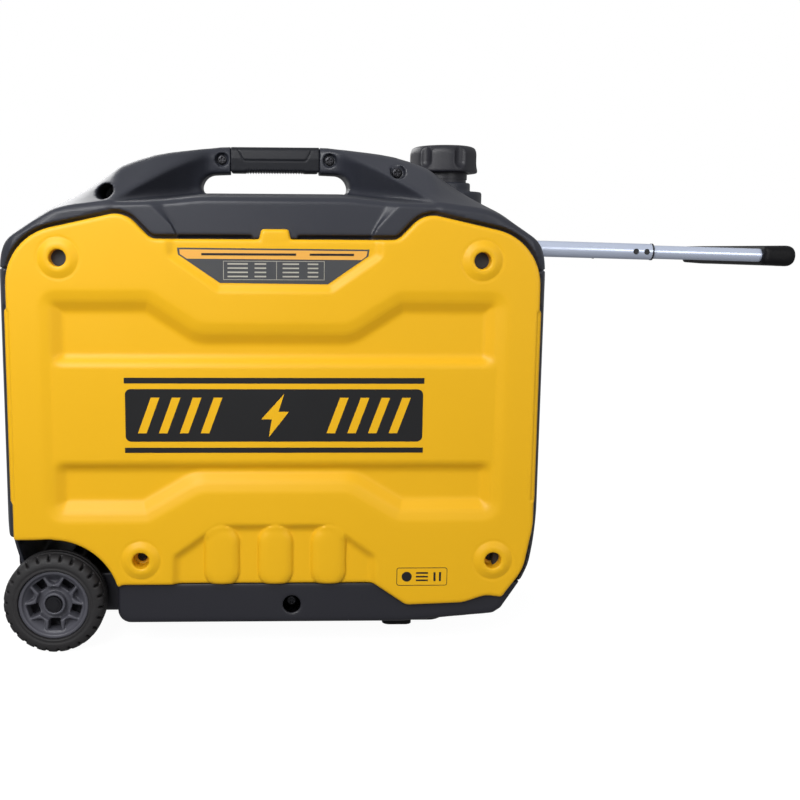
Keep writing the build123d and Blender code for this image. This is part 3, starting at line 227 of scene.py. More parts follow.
def mottled(tree, colour, spread, scale, detail=4.0):
    """A colour that varies a little over the surface."""
    where = tree.nodes.new("ShaderNodeTexCoord")
    noise = tree.nodes.new("ShaderNodeTexNoise")
    noise.inputs["Scale"].default_value = scale
    noise.inputs["Detail"].default_value = detail
    mix = tree.nodes.new("ShaderNodeMix")
    mix.data_type = "RGBA"
    mix.inputs["A"].default_value = (*[c * (1 - spread) for c in colour], 1)
    mix.inputs["B"].default_value = (*[min(1, c * (1 + spread)) for c in colour], 1)
    tree.links.new(where.outputs["Object"], noise.inputs["Vector"])
    tree.links.new(noise.outputs["Fac"], mix.inputs["Factor"])
    return where, noise, mix.outputs["Result"]


def plastic(name, colour, roughness, grain=0.06, scale=1400.0, spread=0.05, coat=0.0, shine=0.42):
    """Moulded plastic with a fine spark-eroded grain and faint colour changes."""
    material, tree, shader = node_material(name)
    where, noise, tint = mottled(tree, colour, spread, 9.0)
    tree.links.new(tint, shader.inputs["Base Color"])
    shader.inputs["Roughness"].default_value = roughness
    shader.inputs["Specular IOR Level"].default_value = shine
    if coat:
        shader.inputs["Coat Weight"].default_value = coat
        shader.inputs["Coat Roughness"].default_value = 0.25
    texture = tree.nodes.new("ShaderNodeTexNoise")
    texture.inputs["Scale"].default_value = scale
    texture.inputs["Detail"].default_value = 2.0
    bump = tree.nodes.new("ShaderNodeBump")
    bump.inputs["Strength"].default_value = grain
    bump.inputs["Distance"].default_value = 0.0004
    tree.links.new(where.outputs["Object"], texture.inputs["Vector"])
    tree.links.new(texture.outputs["Fac"], bump.inputs["Height"])
    tree.links.new(bump.outputs["Normal"], shader.inputs["Normal"])
    rough = tree.nodes.new("ShaderNodeMapRange")
    rough.inputs["To Min"].default_value = roughness - 0.05
    rough.inputs["To Max"].default_value = roughness + 0.07
    tree.links.new(noise.outputs["Fac"], rough.inputs["Value"])
    tree.links.new(rough.outputs["Result"], shader.inputs["Roughness"])
    return material


def metal(name, colour, roughness, stretch=(1.0, 1.0, 1.0), grain=0.05, scale=300.0, metallic=1.0):
    """Bare metal; stretch draws the surface marks out along an axis."""
    material, tree, shader = node_material(name)
    where, noise, tint = mottled(tree, colour, 0.06, 14.0)
    tree.links.new(tint, shader.inputs["Base Color"])
    shader.inputs["Metallic"].default_value = metallic
    mapping = tree.nodes.new("ShaderNodeMapping")
    mapping.inputs["Scale"].default_value = stretch
    texture = tree.nodes.new("ShaderNodeTexNoise")
    texture.inputs["Scale"].default_value = scale
    texture.inputs["Detail"].default_value = 5.0
    bump = tree.nodes.new("ShaderNodeBump")
    bump.inputs["Strength"].default_value = grain
    bump.inputs["Distance"].default_value = 0.0003
    rough = tree.nodes.new("ShaderNodeMapRange")
    rough.inputs["To Min"].default_value = roughness - 0.06
    rough.inputs["To Max"].default_value = roughness + 0.08
    tree.links.new(where.outputs["Object"], mapping.inputs["Vector"])
    tree.links.new(mapping.outputs["Vector"], texture.inputs["Vector"])
    tree.links.new(texture.outputs["Fac"], bump.inputs["Height"])
    tree.links.new(bump.outputs["Normal"], shader.inputs["Normal"])
    tree.links.new(texture.outputs["Fac"], rough.inputs["Value"])
    tree.links.new(rough.outputs["Result"], shader.inputs["Roughness"])
    return material


YELLOW = plastic("yellow_cover", (0.81, 0.44, 0.008), 0.40, grain=0.05, spread=0.02, shine=0.28)
CHARCOAL = plastic("charcoal_cover", (0.026, 0.028, 0.038), 0.40, grain=0.10, scale=1100.0)
BLACK = plastic("black_base", (0.018, 0.018, 0.024), 0.42, grain=0.10, scale=1100.0)
SOFT = plastic("soft_grip", (0.011, 0.012, 0.016), 0.50, grain=0.14, scale=900.0, shine=0.3)
HUB_GREY = plastic("hub_grey", (0.075, 0.075, 0.090), 0.42, grain=0.08)
TYRE_RUBBER = plastic("tyre_rubber", (0.018, 0.017, 0.018),
                      0.62, grain=0.20, scale=700.0, spread=0.15)
GRIP_RUBBER = plastic("grip_rubber", (0.004, 0.004, 0.005),
                      0.50, grain=0.12, scale=900.0, shine=0.2)
GLOSS_BLACK = plastic("gloss_black", (0.012, 0.012, 0.014), 0.22, grain=0.02, coat=0.4)
PANEL_BLACK = plastic("panel_black", (0.025, 0.026, 0.030), 0.38, grain=0.12, scale=1300.0)
SOCKET_BLUE = plastic("socket_blue", (0.02, 0.07, 0.30), 0.32, grain=0.04)
SWITCH_RED = plastic("switch_red", (0.55, 0.02, 0.012), 0.30, grain=0.03)
CERAMIC = plastic("ceramic", (0.80, 0.79, 0.74), 0.20, grain=0.01, coat=0.5)
DISPLAY = plastic("display_window", (0.010, 0.016, 0.018), 0.10, grain=0.0, coat=0.8)
TANK_PAINT = plastic("tank_paint", (0.018, 0.018, 0.020), 0.35, grain=0.05, coat=0.3)
ROPE = plastic("rope", (0.030, 0.030, 0.030), 0.85, grain=0.5, scale=1500.0)
FOAM = plastic("foam", (0.045, 0.045, 0.050), 0.95, grain=0.8, scale=420.0)
INK = plastic("decal_ink", (0.010, 0.010, 0.011), 0.34, grain=0.02)
LABEL_GOLD = plastic("label_gold", (0.80, 0.40, 0.07), 0.35, grain=0.01, spread=0.01)
LABEL_GREY = plastic("label_grey", (0.060, 0.062, 0.066), 0.33, grain=0.01, spread=0.01)
LABEL_LINE = plastic("label_line", (0.42, 0.40, 0.34), 0.40, grain=0.01)
ALUMINIUM = metal("tube_aluminium", (0.70, 0.77, 0.94), 0.28, stretch=(0.04, 1, 1), metallic=0.6)
STEEL = metal("steel", (0.56, 0.56, 0.57), 0.34)
DARK_STEEL = metal("dark_steel", (0.045, 0.045, 0.05), 0.42)
CAST = metal("cast_aluminium", (0.46, 0.47, 0.48), 0.55, grain=0.35, scale=500.0)
HOT_STEEL = metal("hot_steel", (0.42, 0.38, 0.34), 0.42, grain=0.1)
LAMINATION = metal("laminations", (0.16, 0.15, 0.15), 0.5, stretch=(30, 1, 1), grain=0.3)
HEATSINK = metal("heatsink", (0.60, 0.61, 0.62), 0.42, stretch=(0.05, 1, 1))
BRASS = metal("brass", (0.72, 0.52, 0.22), 0.30)

SLOT_MATERIALS = {
    "yellow_plastic": YELLOW, "dark_plastic": CHARCOAL, "base_plastic": BLACK,
    "soft_grip": SOFT, "screw_steel": DARK_STEEL, "feet_rubber": GRIP_RUBBER,
    "axle_steel": DARK_STEEL, "hub_plastic": HUB_GREY, "tyre": TYRE_RUBBER,
    "tube_aluminium": ALUMINIUM, "handle_rubber": GRIP_RUBBER, "button_plastic": GLOSS_BLACK,
    "tank_steel": TANK_PAINT, "cast_aluminium": CAST, "steel": STEEL,
    "laminations": LAMINATION, "fan_plastic": BLACK, "rope": ROPE, "filter_foam": FOAM,
    "hot_steel": HOT_STEEL, "heatsink": HEATSINK, "panel_plastic": PANEL_BLACK,
    "socket_plastic": SOCKET_BLUE, "lens": DISPLAY, "switch_red": SWITCH_RED,
    "knob_yellow": YELLOW, "brass": BRASS, "ceramic": CERAMIC,
}
for part in frame["record"]["subparts"]:
    node = frame["nodes"][part["node"]]
    node.data.materials.clear()
    node.data.materials.append(SLOT_MATERIALS[part["material_slot"]])


# ---------------------------------------------------------------- shared outlines
HALF_WIDTH = 165.0
SIDE_FACE = 175.0
FACE = 172.8
WHEEL = (-238.0, 55.0)
WELL_R = 72.0
SCREWS = [(-223, 426), (216, 425), (-143, 105), (236, 104)]

COVER_OUTLINE = rounded(
    [(-278, 70), (-278, 446.5), (-155, 474), (-128, 446), (128, 446), (155, 474),
     (278, 446.5), (279.5, 142), (270, 92), (247.5, 61.5), (229.5, 63.8), (205, 55.5),
     (143, 53.2), (108, 77), (-163, 77), (-175, 70)],
    [1, 60, 28, 14, 14, 28, 60, 80, 50, 4, 25, 40, 12, 10, 3, 1])
RECESS = rounded(
    [(-246, 144), (-246, 395), (-128, 395.5), (-76, 361.5), (76, 361.5), (128, 395.5),
     (246, 395), (246, 145.5), (131, 145.5), (78, 177), (-78, 177), (-134, 144)],
    [24, 20, 22, 18, 18, 22, 20, 24, 16, 18, 18, 16])
LOWER = rounded([(-112, 40), (-110, 110), (-62, 145), (62, 145), (110, 110), (113, 40)],
                [1, 12, 14, 14, 12, 1])
LABEL = rounded([(-113, 470), (-113, 427), (-60, 390), (60, 390), (113, 427), (113, 470)],
                [1, 10, 10, 10, 10, 1])


def cover_edge(x, z):
    """Signed distance to the side cover's outline, negative inside."""
    edge = distance(COVER_OUTLINE, x, z)
    tab = smooth_max(np.abs(x) - 16.5 + (z - 446) * 0.22, z - 456.5, 3.0)
    edge = smooth_min(edge, smooth_max(tab, 440 - z, 1.0), 1.5)
    side_tab = smooth_max(np.abs(x) - 280.5, np.abs(z - 270.5) - 102.5, 3.0)
    edge = smooth_min(edge, smooth_max(side_tab, 260 - np.abs(x), 1.0), 2.0)
    wheel = WELL_R - np.hypot(x - WHEEL[0], z - WHEEL[1])
    notch = np.minimum(127 - z, WHEEL[0] - x)
    return smooth_max(smooth_max(edge, wheel, 3.0), notch, 3.0)


def cover_height(x, z, rib=6.6):
    """Height of the side cover's outer face above the middle plane."""
    inside = -distance(RECESS, x, z)
    band = ramp(61.0 - np.abs(z - 263.0), 9.0, 4.0)
    drop = 3.0 * ramp(inside, 12.0, 2.0) + 7.5 * ramp(inside - 12.5, 12.5, 3.0) * (1 - band)
    lower = -distance(LOWER, x, z)
    floor = 6.0 * ramp(lower, 8.0, 3.0)
    ribs = np.zeros_like(floor)
    for centre in (-56.5, 1.0, 58.5):
        along_rib = np.clip(z, 92.0, 124.0)
        off = np.hypot(x - centre, z - along_rib)
        ribs = np.maximum(ribs, rib * np.sqrt(np.clip(1.0 - (off / 19.0) ** 2, 0.0, 1.0)))
    floor = smooth_max(floor - ribs, np.zeros_like(floor), 1.0)
    label = 4.0 * ramp(-distance(LABEL, x, z), 8.0, 2.0)
    height = FACE - smooth_max(smooth_max(drop, floor, 1.0), label, 1.0)
    side = smooth_step(np.abs(x), 274.6, 275.8) * smooth_step(102.5 - np.abs(z - 270.5), 0.0, 2.0)
    height = height - 2.0 * side
    for sx, sz in SCREWS:
        away = np.hypot(x - sx, z - sz)
        ring = np.clip((20.5 - away) / 6.5, 0.0, 1.0)
        lift = np.maximum(SIDE_FACE - 0.2 - height, 0.0)
        height = height + lift * ring - 0.8 * np.clip(1.0 - np.abs(away - 21.3) / 1.3, 0.0, 1.0)
    return height


COVER_BACK = 160.0
SKIN = 4.5
CUP_R = 8.8
CUP_END = 151.0
DOOR_AT, DOOR_HALF, DOOR_R = (-12.0, 263.0), (65.0, 36.0), 10.0
STARTER_AT, STARTER_HALF, STARTER_R = (156.0, 238.0), (30.0, 3.0), 14.0
ROPE_HOLE_R = 4.5


def cover_field(x, y, z):
    """The near side cover: a thin skin with a turned rim, screw cups and a recess."""
    out = -y
    height = cover_height(x, z)
    edge = cover_edge(x, z)
    body = smooth_max(out - height, edge, 4.5)
    body = smooth_max(body, COVER_BACK - out, 1.0)
    hollow = np.maximum(out - cover_height(x, z, 0.0) + SKIN, edge + SKIN)
    body = np.maximum(body, -hollow)
    for sx, sz in SCREWS:
        away = np.hypot(x - sx, z - sz)
        cup = np.maximum(away - CUP_R - 2.5, np.maximum(CUP_END - out, out - height + 1))
        body = np.minimum(body, cup)
        hole = smooth_max(away - CUP_R, CUP_END + 3.0 - out, 1.0)
        body = smooth_max(body, -hole, 1.6)
    return body


def round_box(x, z, middle, half, radius):
    """Signed distance to a rectangle grown by a radius, so that its corners are round."""
    dx, dz = np.abs(x - middle[0]), np.abs(z - middle[1])
    return np.hypot(np.maximum(dx - half[0], 0), np.maximum(dz - half[1], 0)) - radius


def far_cover_field(x, y, z):
    """The far cover: the same form, open for the service door and the starter grip."""
    door = round_box(x, z, DOOR_AT, DOOR_HALF, DOOR_R)
    body = smooth_max(cover_field(x, y, z), -door, 1.0)
    cup = round_box(x, z, STARTER_AT, STARTER_HALF, STARTER_R)
    body = np.minimum(body, np.maximum(cup - 3.0, np.abs(-y - 164.5) - 2.0))
    pocket = smooth_max(cup, 166.5 + y, 1.0)
    rope_hole = ROPE_HOLE_R - np.hypot(x - STARTER_AT[0], z - STARTER_AT[1])
    return smooth_max(smooth_max(body, -pocket, 2.0), rope_hole, 1.0)


for tag, field, flip in (("near", cover_field, False), ("far", far_cover_field, True)):
    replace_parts(mould("cover_skin_" + tag, field, (-284, -178, 48), (284, -148, 478), 1.35,
                      YELLOW, "housing", flip_y=flip), "side_cover_" + tag)


# ---------------------------------------------------------------- dark shells
SIDE_LINE = rounded([(-276, 77), (-300, 150), (-300, 430), (-152, 537), (-62, 554),
                     (62, 554), (152, 537), (300, 430), (300, 165), (279.5, 97), (269.5, 77)],
                    [4, 60, 75, 150, 200, 200, 150, 75, 80, 40, 4])
GAP_LINE = rounded([(-84, 470), (-84, 521.5), (0, 524.5), (87, 521.5), (87, 470)],
                   [1, 16, 60, 16, 1])
END_BULGE = 14.0
TOP_SPLIT = 415.0
BASE_SPLIT = 77.0
# the carrying handle by distance from its middle: the ridge down each flank (height and half
# width), the half width of the hollow under it, how the roof above it leans, the deck's edge
ARM_X = (0, 50, 76, 96, 117, 146, 170, 230, 300)
RIDGE_Z = (547, 547, 546, 534.5, 522, 501, 483.5, 476, 455)
RIDGE_Y = (18, 18, 25, 50, 80, 127, 162, 164, 166)
HOLLOW_Y = (17, 17, 17, 30, 60, 115, 162, 164, 166)
ROOF_LEAN = (0.4, 0.5, 0.8, 1.0, 1.3, 1.6, 1.5, 3.5, 4.0)
BELT_Z = (489, 489, 489, 487, 485, 484, 483.5, 476, 445)


def along(x, stations):
    """A smooth quantity given at stations along the handle's arms."""
    away = np.abs(x)
    total = sum(np.interp(away + shift, ARM_X, stations) for shift in (-4, 0, 4))
    return total / 3


def shell_walls(x, y, z):
    """The body below the carrying handle, negative inside."""
    away = np.abs(y)
    belt = along(x, BELT_Z)
    start = 106.0 + 0.48 * (z - 460.0)
    finish = 106.5 + 1.07 * np.minimum(z - 460.0, 21.0)
    pad = np.clip((np.abs(x) - start) / np.maximum(finish - start, 0.5), 0.0, 1.0)
    half = 163.0 + 5.0 * pad
    half = half + 2.0 * smooth_step(np.abs(x), 262, 272)
    pocket = 1 - smooth_step(cover_edge(x, z), 2.4, 4.2)
    behind_tab = smooth_step(25.0 - np.abs(x), 0.0, 2.0) * smooth_step(z, 444.0, 447.0)
    half = half - 7.0 * pocket * (1 - behind_tab)
    half = half - 4.0 * np.clip((z - belt + 4.5) / 4.5, 0.0, 1.0)
    crown = z - belt - 10.0 * (1 - np.minimum(away / 163.0, 1.0) ** 2)
    return smooth_max(away - half, crown, 3.0)


def shell_arms(x, y, z):
    """The two arms and the bar of the carrying handle, negative inside."""
    belt = along(x, BELT_Z)
    ridge = along(x, RIDGE_Z)
    width = along(x, RIDGE_Y)
    under = along(x, HOLLOW_Y)
    t = np.clip((z - belt) / np.maximum(ridge - belt, 2.0), 0.0, 1.0)
    flank = under + (width - under) * t ** 1.6
    roof = width - along(x, ROOF_LEAN) * (z - ridge)
    half = smooth_min(flank, roof, 8.0)
    arms = (np.abs(y) - half) * 0.7
    arms = smooth_max(arms, -distance(GAP_LINE, x, z), 5.0)
    return np.maximum(arms, belt - 10 - z)


def end_face(y):
    """How far out an end face is: crowned, and drawn in towards the side covers."""
    drawn_in = 6.0 * np.clip((np.abs(y) - 138.0) / 27.0, 0, 2) ** 2
    return 300.0 - END_BULGE * (y / HALF_WIDTH) ** 2 - drawn_in


def shell_field(x, y, z):
    """The outer form of the dark covers."""
    side = distance(SIDE_LINE, x, z)
    ends = np.abs(x) - end_face(y)
    body = smooth_min(shell_walls(x, y, z), shell_arms(x, y, z), 11.0)
    rim = 6.0 + 9.0 * smooth_step(np.abs(x), 130.0, 220.0)
    return smooth_max(body, smooth_max(side, ends, 10.0), rim)


def shell_inside(x, y, z):
    """The room inside the dark covers."""
    side = distance(SIDE_LINE, x, z)
    ends = np.abs(x) - end_face(y)
    room = np.maximum(smooth_max(side, ends, 10.0) + 4.0, np.abs(y) - 151.5)
    return np.maximum(room, z - along(x, BELT_Z) + 5.0)


def round_holes(body, x, y, z, holes, blend=1.2):
    """Sink round holes, each (x, z, radius, end y), from the near side."""
    for hx, hz, radius, end in holes:
        hole = smooth_max(np.hypot(x - hx, z - hz) - radius, y - end, 0.6)
        body = smooth_max(body, -hole, blend)
    return body


def face_at(x, z):
    """Where the near face of the dark covers is at a point seen from the side."""
    depth = np.arange(-175.0, 0.0, 0.25)
    inside = shell_field(np.full_like(depth, x), depth, np.full_like(depth, z)) < 0
    return float(depth[np.argmax(inside)])


HANDLE_SCREWS = [(x, z, radius, face_at(x, z) + sink) for x, z, radius, sink in
                 ((-60.5, 538.5, 7.5, 6.5), (64.5, 538.0, 7.5, 6.5), (136.0, 520.5, 8.2, 14.0))]
DEEP_HOLE = (-178.5, 495.0, 9.4, -70.0)
CAP = (205.0, 30.0)
NECK_R = 24.0
COLLAR_TOPS = (505.0, 516.0)
TUBE_Y = 105.0
TUBE_SLOPE = radians(1.4)
COLLAR = (417.0, 435.0)


def tube_height(x):
    """Height of the telescopic tubes' axis."""
    return COLLAR[1] - (x - COLLAR[0]) * tan(TUBE_SLOPE)


def top_field(x, y, z):
    """The top cover with the carrying handle, the filler collar and the tube exits."""
    body = shell_field(x, y, z)
    near = round_holes(body, x, y, z, HANDLE_SCREWS + [DEEP_HOLE])
    body = round_holes(near, x, -y, z, HANDLE_SCREWS + [DEEP_HOLE])
    body = np.maximum(body, -shell_inside(x, y, z))
    body = smooth_max(body, TOP_SPLIT + 0.35 - z, 0.3)
    # the seat of the soft grip around the bar
    grip = np.maximum(np.abs(x - 1) - 51.8, 515 - z)
    body = np.maximum(body, -grip)
    # stepped collar of the fuel filler
    away = np.hypot(x - CAP[0], y - CAP[1])
    collar = np.minimum(smooth_max(away - 47, z - COLLAR_TOPS[0], 2.0),
                        smooth_max(away - 33, z - COLLAR_TOPS[1], 2.0))
    collar = np.maximum(collar, 470 - z)
    body = smooth_min(body, collar, 2.0)
    body = np.maximum(body, -np.maximum(away - NECK_R - 0.5, 450 - z))
    # tube exits
    for side in (-1, 1):
        tube = np.hypot(y - side * TUBE_Y, z - tube_height(x)) - 12.8
        body = smooth_max(body, -np.maximum(tube, 180 - x), 1.5)
    return body


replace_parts(mould("top_cover_shell", top_field, (-303, -173, 413), (303, 173, 556), 1.8, CHARCOAL,
                  "housing"), "top_cover")


def slots(x, z, rows, half_length, half_height, middle=0.0):
    """Signed distance to the nearest of a column of round-ended ventilation slots."""
    gap = np.full(np.broadcast(x, z).shape, 1e3)
    for row in rows:
        off = np.maximum(np.abs(x - middle) - half_length + half_height, 0.0)
        gap = np.minimum(gap, np.hypot(off, z - row) - half_height)
    return gap


def end_body(x, y, z, sign):
    """An end cover without its openings; an inner lip reaches up behind the top cover."""
    outer, solid = shell_field(x, y, z), -shell_inside(x, y, z)
    lip = np.maximum(np.maximum(outer + 2.2, solid), z - TOP_SPLIT - 8)
    body = smooth_max(np.maximum(outer, solid), z - TOP_SPLIT + 0.35, 0.3)
    body = np.minimum(body, lip)
    body = smooth_max(body, BASE_SPLIT + 0.3 - z, 0.8)
    return np.maximum(body, 238.0 - sign * x)


def front_field(x, y, z):
    """The end cover around the control panel."""
    body = end_body(x, y, z, 1)
    dy, dz = np.abs(y), np.abs(z - 262.0)
    opening = smooth_max(dy - 124.0, dz - 117.0, 14.0)
    body = smooth_max(body, -np.maximum(opening, 240 - x), 3.0)
    return smooth_max(body, -slots(y, z, (94, 106, 118, 130), 110, 2.6), 1.5)


def wheel_room(x, y, z):
    """The space of a wheel, negative inside."""
    wheel = np.hypot(x - WHEEL[0], z - WHEEL[1]) - WELL_R
    notch = np.maximum(z - 127, x - WHEEL[0])
    return np.maximum(smooth_min(wheel, notch, 3.0), 129.0 - np.abs(y))


def rear_field(x, y, z):
    """The end cover with louvres, the exhaust opening and room for the wheels."""
    body = end_body(x, y, z, -1)
    body = smooth_max(body, -slots(y, z, range(120, 231, 11), 115, 2.8), 1.5)
    body = smooth_max(body, -slots(y, z, range(252, 341, 11), 55, 2.8, -60.0), 1.5)
    pipe = np.hypot(y - 55.0, z - 285.0) - 37.5
    body = smooth_max(body, -pipe, 2.5)
    return smooth_max(body, -wheel_room(x, y, z), 3.0)


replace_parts(mould("front_cover_shell", front_field, (232, -173, 75), (303, 173, 417), 1.8, CHARCOAL,
                  "housing"), "front_cover")
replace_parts(mould("rear_cover_shell", rear_field, (-303, -173, 75), (-232, 173, 417), 1.8, CHARCOAL,
                  "housing"), "rear_cover")


def louvre_baffle(name, x, low, high, half, hole=None, lean=0.0):
    """A dark sheet behind a louvred end, across the body, open for the exhaust."""
    def field(px, py, pz):
        body = smooth_max(np.abs(py) - half, np.abs(pz - (low + high) / 2) - (high - low) / 2, 6.0)
        body = np.maximum(body, np.abs(px - x - lean * (pz - low)) - 1.2)
        if hole:
            body = np.maximum(body, hole[2] - np.hypot(py - hole[0], pz - hole[1]))
        return body
    mould(name, field, (x - 2, -half - 1, low - 1),
          (x + 2 + lean * (high - low), half + 1, high + 1), 1.2, BLACK, "housing")


louvre_baffle("louvre_baffle_rear", -283.0, 84.0, 350.0, 121.0, (55.0, 285.0, 40.0))
louvre_baffle("louvre_baffle_front", 262.5, 84.0, 139.0, 118.0, lean=0.36)

PAN_HOLE = (19.0, 53.0, 9.6, -150.0)
PAN_LINE = rounded([(-170, 80), (-170, 32), (140, 32), (240, 40.5), (249, 46.5), (271, 80)],
                   [0.5, 14, 60, 10, 5, 0.5])


def pan_field(x, y, z):
    """The base pan: skirt, narrow tail between the wheels, and the tub below."""
    away = np.abs(y)
    skirt = smooth_max(distance(PAN_LINE, x, z), away - HALF_WIDTH, 7.0)
    tail = smooth_max(np.maximum(-278.0 - x, x + 160), away - 125.0, 8.0)
    tail = smooth_max(tail, 32.0 - z, 8.0)
    tub = np.hypot(np.maximum(np.abs(x - 24) - 156, 0), np.maximum(away - 70, 0)) - 20.0
    tub = smooth_max(np.maximum(tub, z - 40), 6.0 - z, 5.0)
    body = smooth_min(np.minimum(skirt, tail), tub, 4.0)
    room = np.maximum(distance(PAN_LINE, x, z) + 4, away - 161)
    tail_room = np.maximum(np.maximum(-274.0 - x, x + 150), away - 121)
    room = np.maximum(np.minimum(room, tail_room), 36 - z)
    body = np.maximum(body, -room)
    body = np.maximum(body, z - BASE_SPLIT)
    near = round_holes(body, x, y, z, [PAN_HOLE])
    return round_holes(near, x, -y, z, [PAN_HOLE])


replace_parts(mould("base_pan_shell", pan_field, (-281, -168, 4), (274, 168, 79), 1.8, BLACK,
                  "housing"), "base_pan")


# ---------------------------------------------------------------- wheels
def wheel_polar(x, z):
    """Distance from the wheel's axis, and the angle about it."""
    dx, dz = x - WHEEL[0], z - WHEEL[1]
    return np.hypot(dx, dz), np.arctan2(dz, dx)


def hub_field(x, y, z):
    """The near hub: rim, dished web, a five-lobed raised plate with windows, and a boss."""
    out = -y
    radius, angle = wheel_polar(x, z)
    sector = 2 * pi / 5
    turn = (angle + pi / 2 + sector / 2) % sector - sector / 2
    across = radius * np.sin(turn)
    along_spoke = radius * np.cos(turn)
    ring = np.maximum(smooth_max(radius - 38.0, 33.5 - radius, 1.0), 133.0 - out)
    ring = smooth_max(ring, out - 169.0, 2.0)
    dish_top = 157.0 + 10.0 * smooth_step(radius, 24.0, 35.0)
    dish = np.maximum(radius - 36.0, np.maximum(out - dish_top, 148.0 - out))
    lobe = smooth_max(np.abs(across) - 10.5, along_spoke - 31.0, 4.0)
    plate = smooth_min(radius - 21.0, lobe, 5.0)
    plate = smooth_max(plate, out - 165.5, 2.5)
    plate = np.maximum(plate, 150.0 - out)
    hollow = smooth_max(radius - 19.0, 158.0 - out, 4.0)
    plate = smooth_max(plate, -hollow, 2.0)
    boss = smooth_max(radius - 12.3, out - 166.5, 1.5)
    boss = np.maximum(boss, 131.0 - out)
    body = smooth_min(smooth_min(ring, dish, 1.5), smooth_min(plate, boss, 1.5), 1.5)
    window = smooth_max(np.abs(across) - 6.8 - (along_spoke - 24) * 0.12,
                        np.abs(along_spoke - 24.0) - 5.6, 2.0)
    body = smooth_max(body, -window, 1.6)
    body = np.minimum(body, np.maximum(radius - 36.5, np.abs(out - 134.0) - 1.8))
    bore = np.minimum(np.maximum(radius - 9.4, 160.0 - out), radius - 6.2)
    return smooth_max(body, -bore, 1.0)


def tyre_field(x, y, z):
    """The near tyre: a low rounded section with lugs over both shoulders."""
    out = -y - 151.5
    radius, angle = wheel_polar(x, z)
    pitch = 2 * pi / 26
    skew = angle + 0.05 * np.sign(out)
    lug = np.abs((skew % pitch) / pitch - 0.5) * pitch * 52.0
    body = smooth_max(radius - 54.8, np.abs(out) - 20.3, 12.0)
    cut = smooth_max(-(lug - 4.9), 10.0 - np.abs(out), 1.2)
    deep = smooth_max(cut, 48.5 - radius, 1.0)
    body = smooth_max(body, -deep, 1.0)
    body = smooth_max(body, -smooth_max(np.abs(np.abs(out) - 4.5) - 1.3, 51.8 - radius, 0.6), 0.8)
    side = smooth_max(np.abs(radius - 41.5) - 0.9, 19.4 - np.abs(out), 0.4)
    body = smooth_max(body, -side, 0.6)
    return smooth_max(body, 38.0 - radius, 0.8)


for tag, flip in (("near", False), ("far", True)):
    low = (WHEEL[0] - 39, -170, WHEEL[1] - 39)
    high = (WHEEL[0] + 39, -130, WHEEL[1] + 39)
    hub = mould("hub_" + tag, hub_field, low, high, 0.8, HUB_GREY, "wheel_" + tag,
                flip_y=flip)
    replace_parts(hub, "wheel_hub_" + tag)
    low = (WHEEL[0] - 56, -173, WHEEL[1] - 56)
    high = (WHEEL[0] + 56, -130, WHEEL[1] + 56)
    tyre = mould("tread_" + tag, tyre_field, low, high, 1.1, TYRE_RUBBER, "wheel_" + tag,
                 flip_y=flip)
    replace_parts(tyre, "tyre_" + tag)


# ---------------------------------------------------------------- fuel cap
def cap_field(x, y, z):
    """A ratchet cap with six flats and a scooped finger hold at each corner."""
    dx, dy = x - CAP[0], y - CAP[1]
    radius, angle = np.hypot(dx, dy), np.arctan2(dy, dx)
    sector = pi / 3
    turn = (angle + radians(39.4) + sector / 2) % sector - sector / 2
    flat = radius * np.cos(turn) - 39.2
    body = smooth_max(radius - 41.2, flat, 3.0)
    body = smooth_max(body, z - 559.0, 1.5)
    bevel = (radius - 35.5 + (z - 559.0) * 1.0) * 0.71
    body = smooth_max(body, bevel, 4.0)
    body = smooth_max(body, 527.5 - z, 2.5)
    turn = (angle + radians(39.4)) % sector - sector / 2
    cx, cy = radius * np.cos(turn), radius * np.sin(turn)
    drop = np.clip(z, 540.0, 600.0)
    scoop = np.sqrt((cx - 45.5) ** 2 + cy ** 2 + (z - drop) ** 2) - 9.0
    body = smooth_max(body, -scoop, 1.5)
    under = np.maximum(radius - 30.0, z - 533.0)
    return np.maximum(body, -under)


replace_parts(mould("fuel_cap_knob", cap_field, (CAP[0] - 42, CAP[1] - 42, 526),
                  (CAP[0] + 42, CAP[1] + 42, 560), 0.9, BLACK, "cap_knob"),
            "fuel_cap")


# ---------------------------------------------------------------- soft grip of the carrying handle
def handle_grip_field(x, y, z):
    """The overmoulded middle of the bar: smooth flanks, an inset pad and ribs underneath."""
    half = 18.4 - 0.12 * np.abs(z - 540)
    body = smooth_max(np.abs(y) - half, z - 553.4, 6.5)
    body = smooth_max(body, np.abs(x - 1) - 51.4, 0.8)
    ribs = 524.4 + 1.5 * smooth_step(np.abs(((x + 0.6) % 3.2) - 1.6), 0.5, 1.0)
    low = np.where(np.abs(x - 1) < 33.5, ribs, 524.6)
    body = smooth_max(body, (low - z), 3.0)
    slope = 36.5 + (z - 538.0) * 0.5
    line = smooth_max(np.abs(x - 1) - slope, 537.5 - z, 2.0)
    groove = np.abs(line) - 0.55
    skin = -np.abs(y) + half - 1.2
    return smooth_max(body, -np.maximum(groove, skin), 0.5)


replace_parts(mould("handle_grip_soft", handle_grip_field, (-52, -20, 521), (54, 20, 554), 0.8, SOFT,
                  "housing"), "handle_grip")


# ---------------------------------------------------------------- screws
def screw_field(x, y, z):
    """A small domed head with a cross recess; its seat is at y 0 and it stands towards -Y."""
    radius = np.hypot(x, z)
    head = smooth_max(radius - 5.3, -y - 2.6 + 0.03 * radius ** 2, 0.8)
    head = np.maximum(head, y - 2.0)
    bar = np.maximum(np.abs(x) - 0.9, np.abs(z) - 3.1)
    other = np.maximum(np.abs(z) - 0.9, np.abs(x) - 3.1)
    return smooth_max(head, -np.maximum(np.minimum(bar, other), y + 0.3), 0.3)


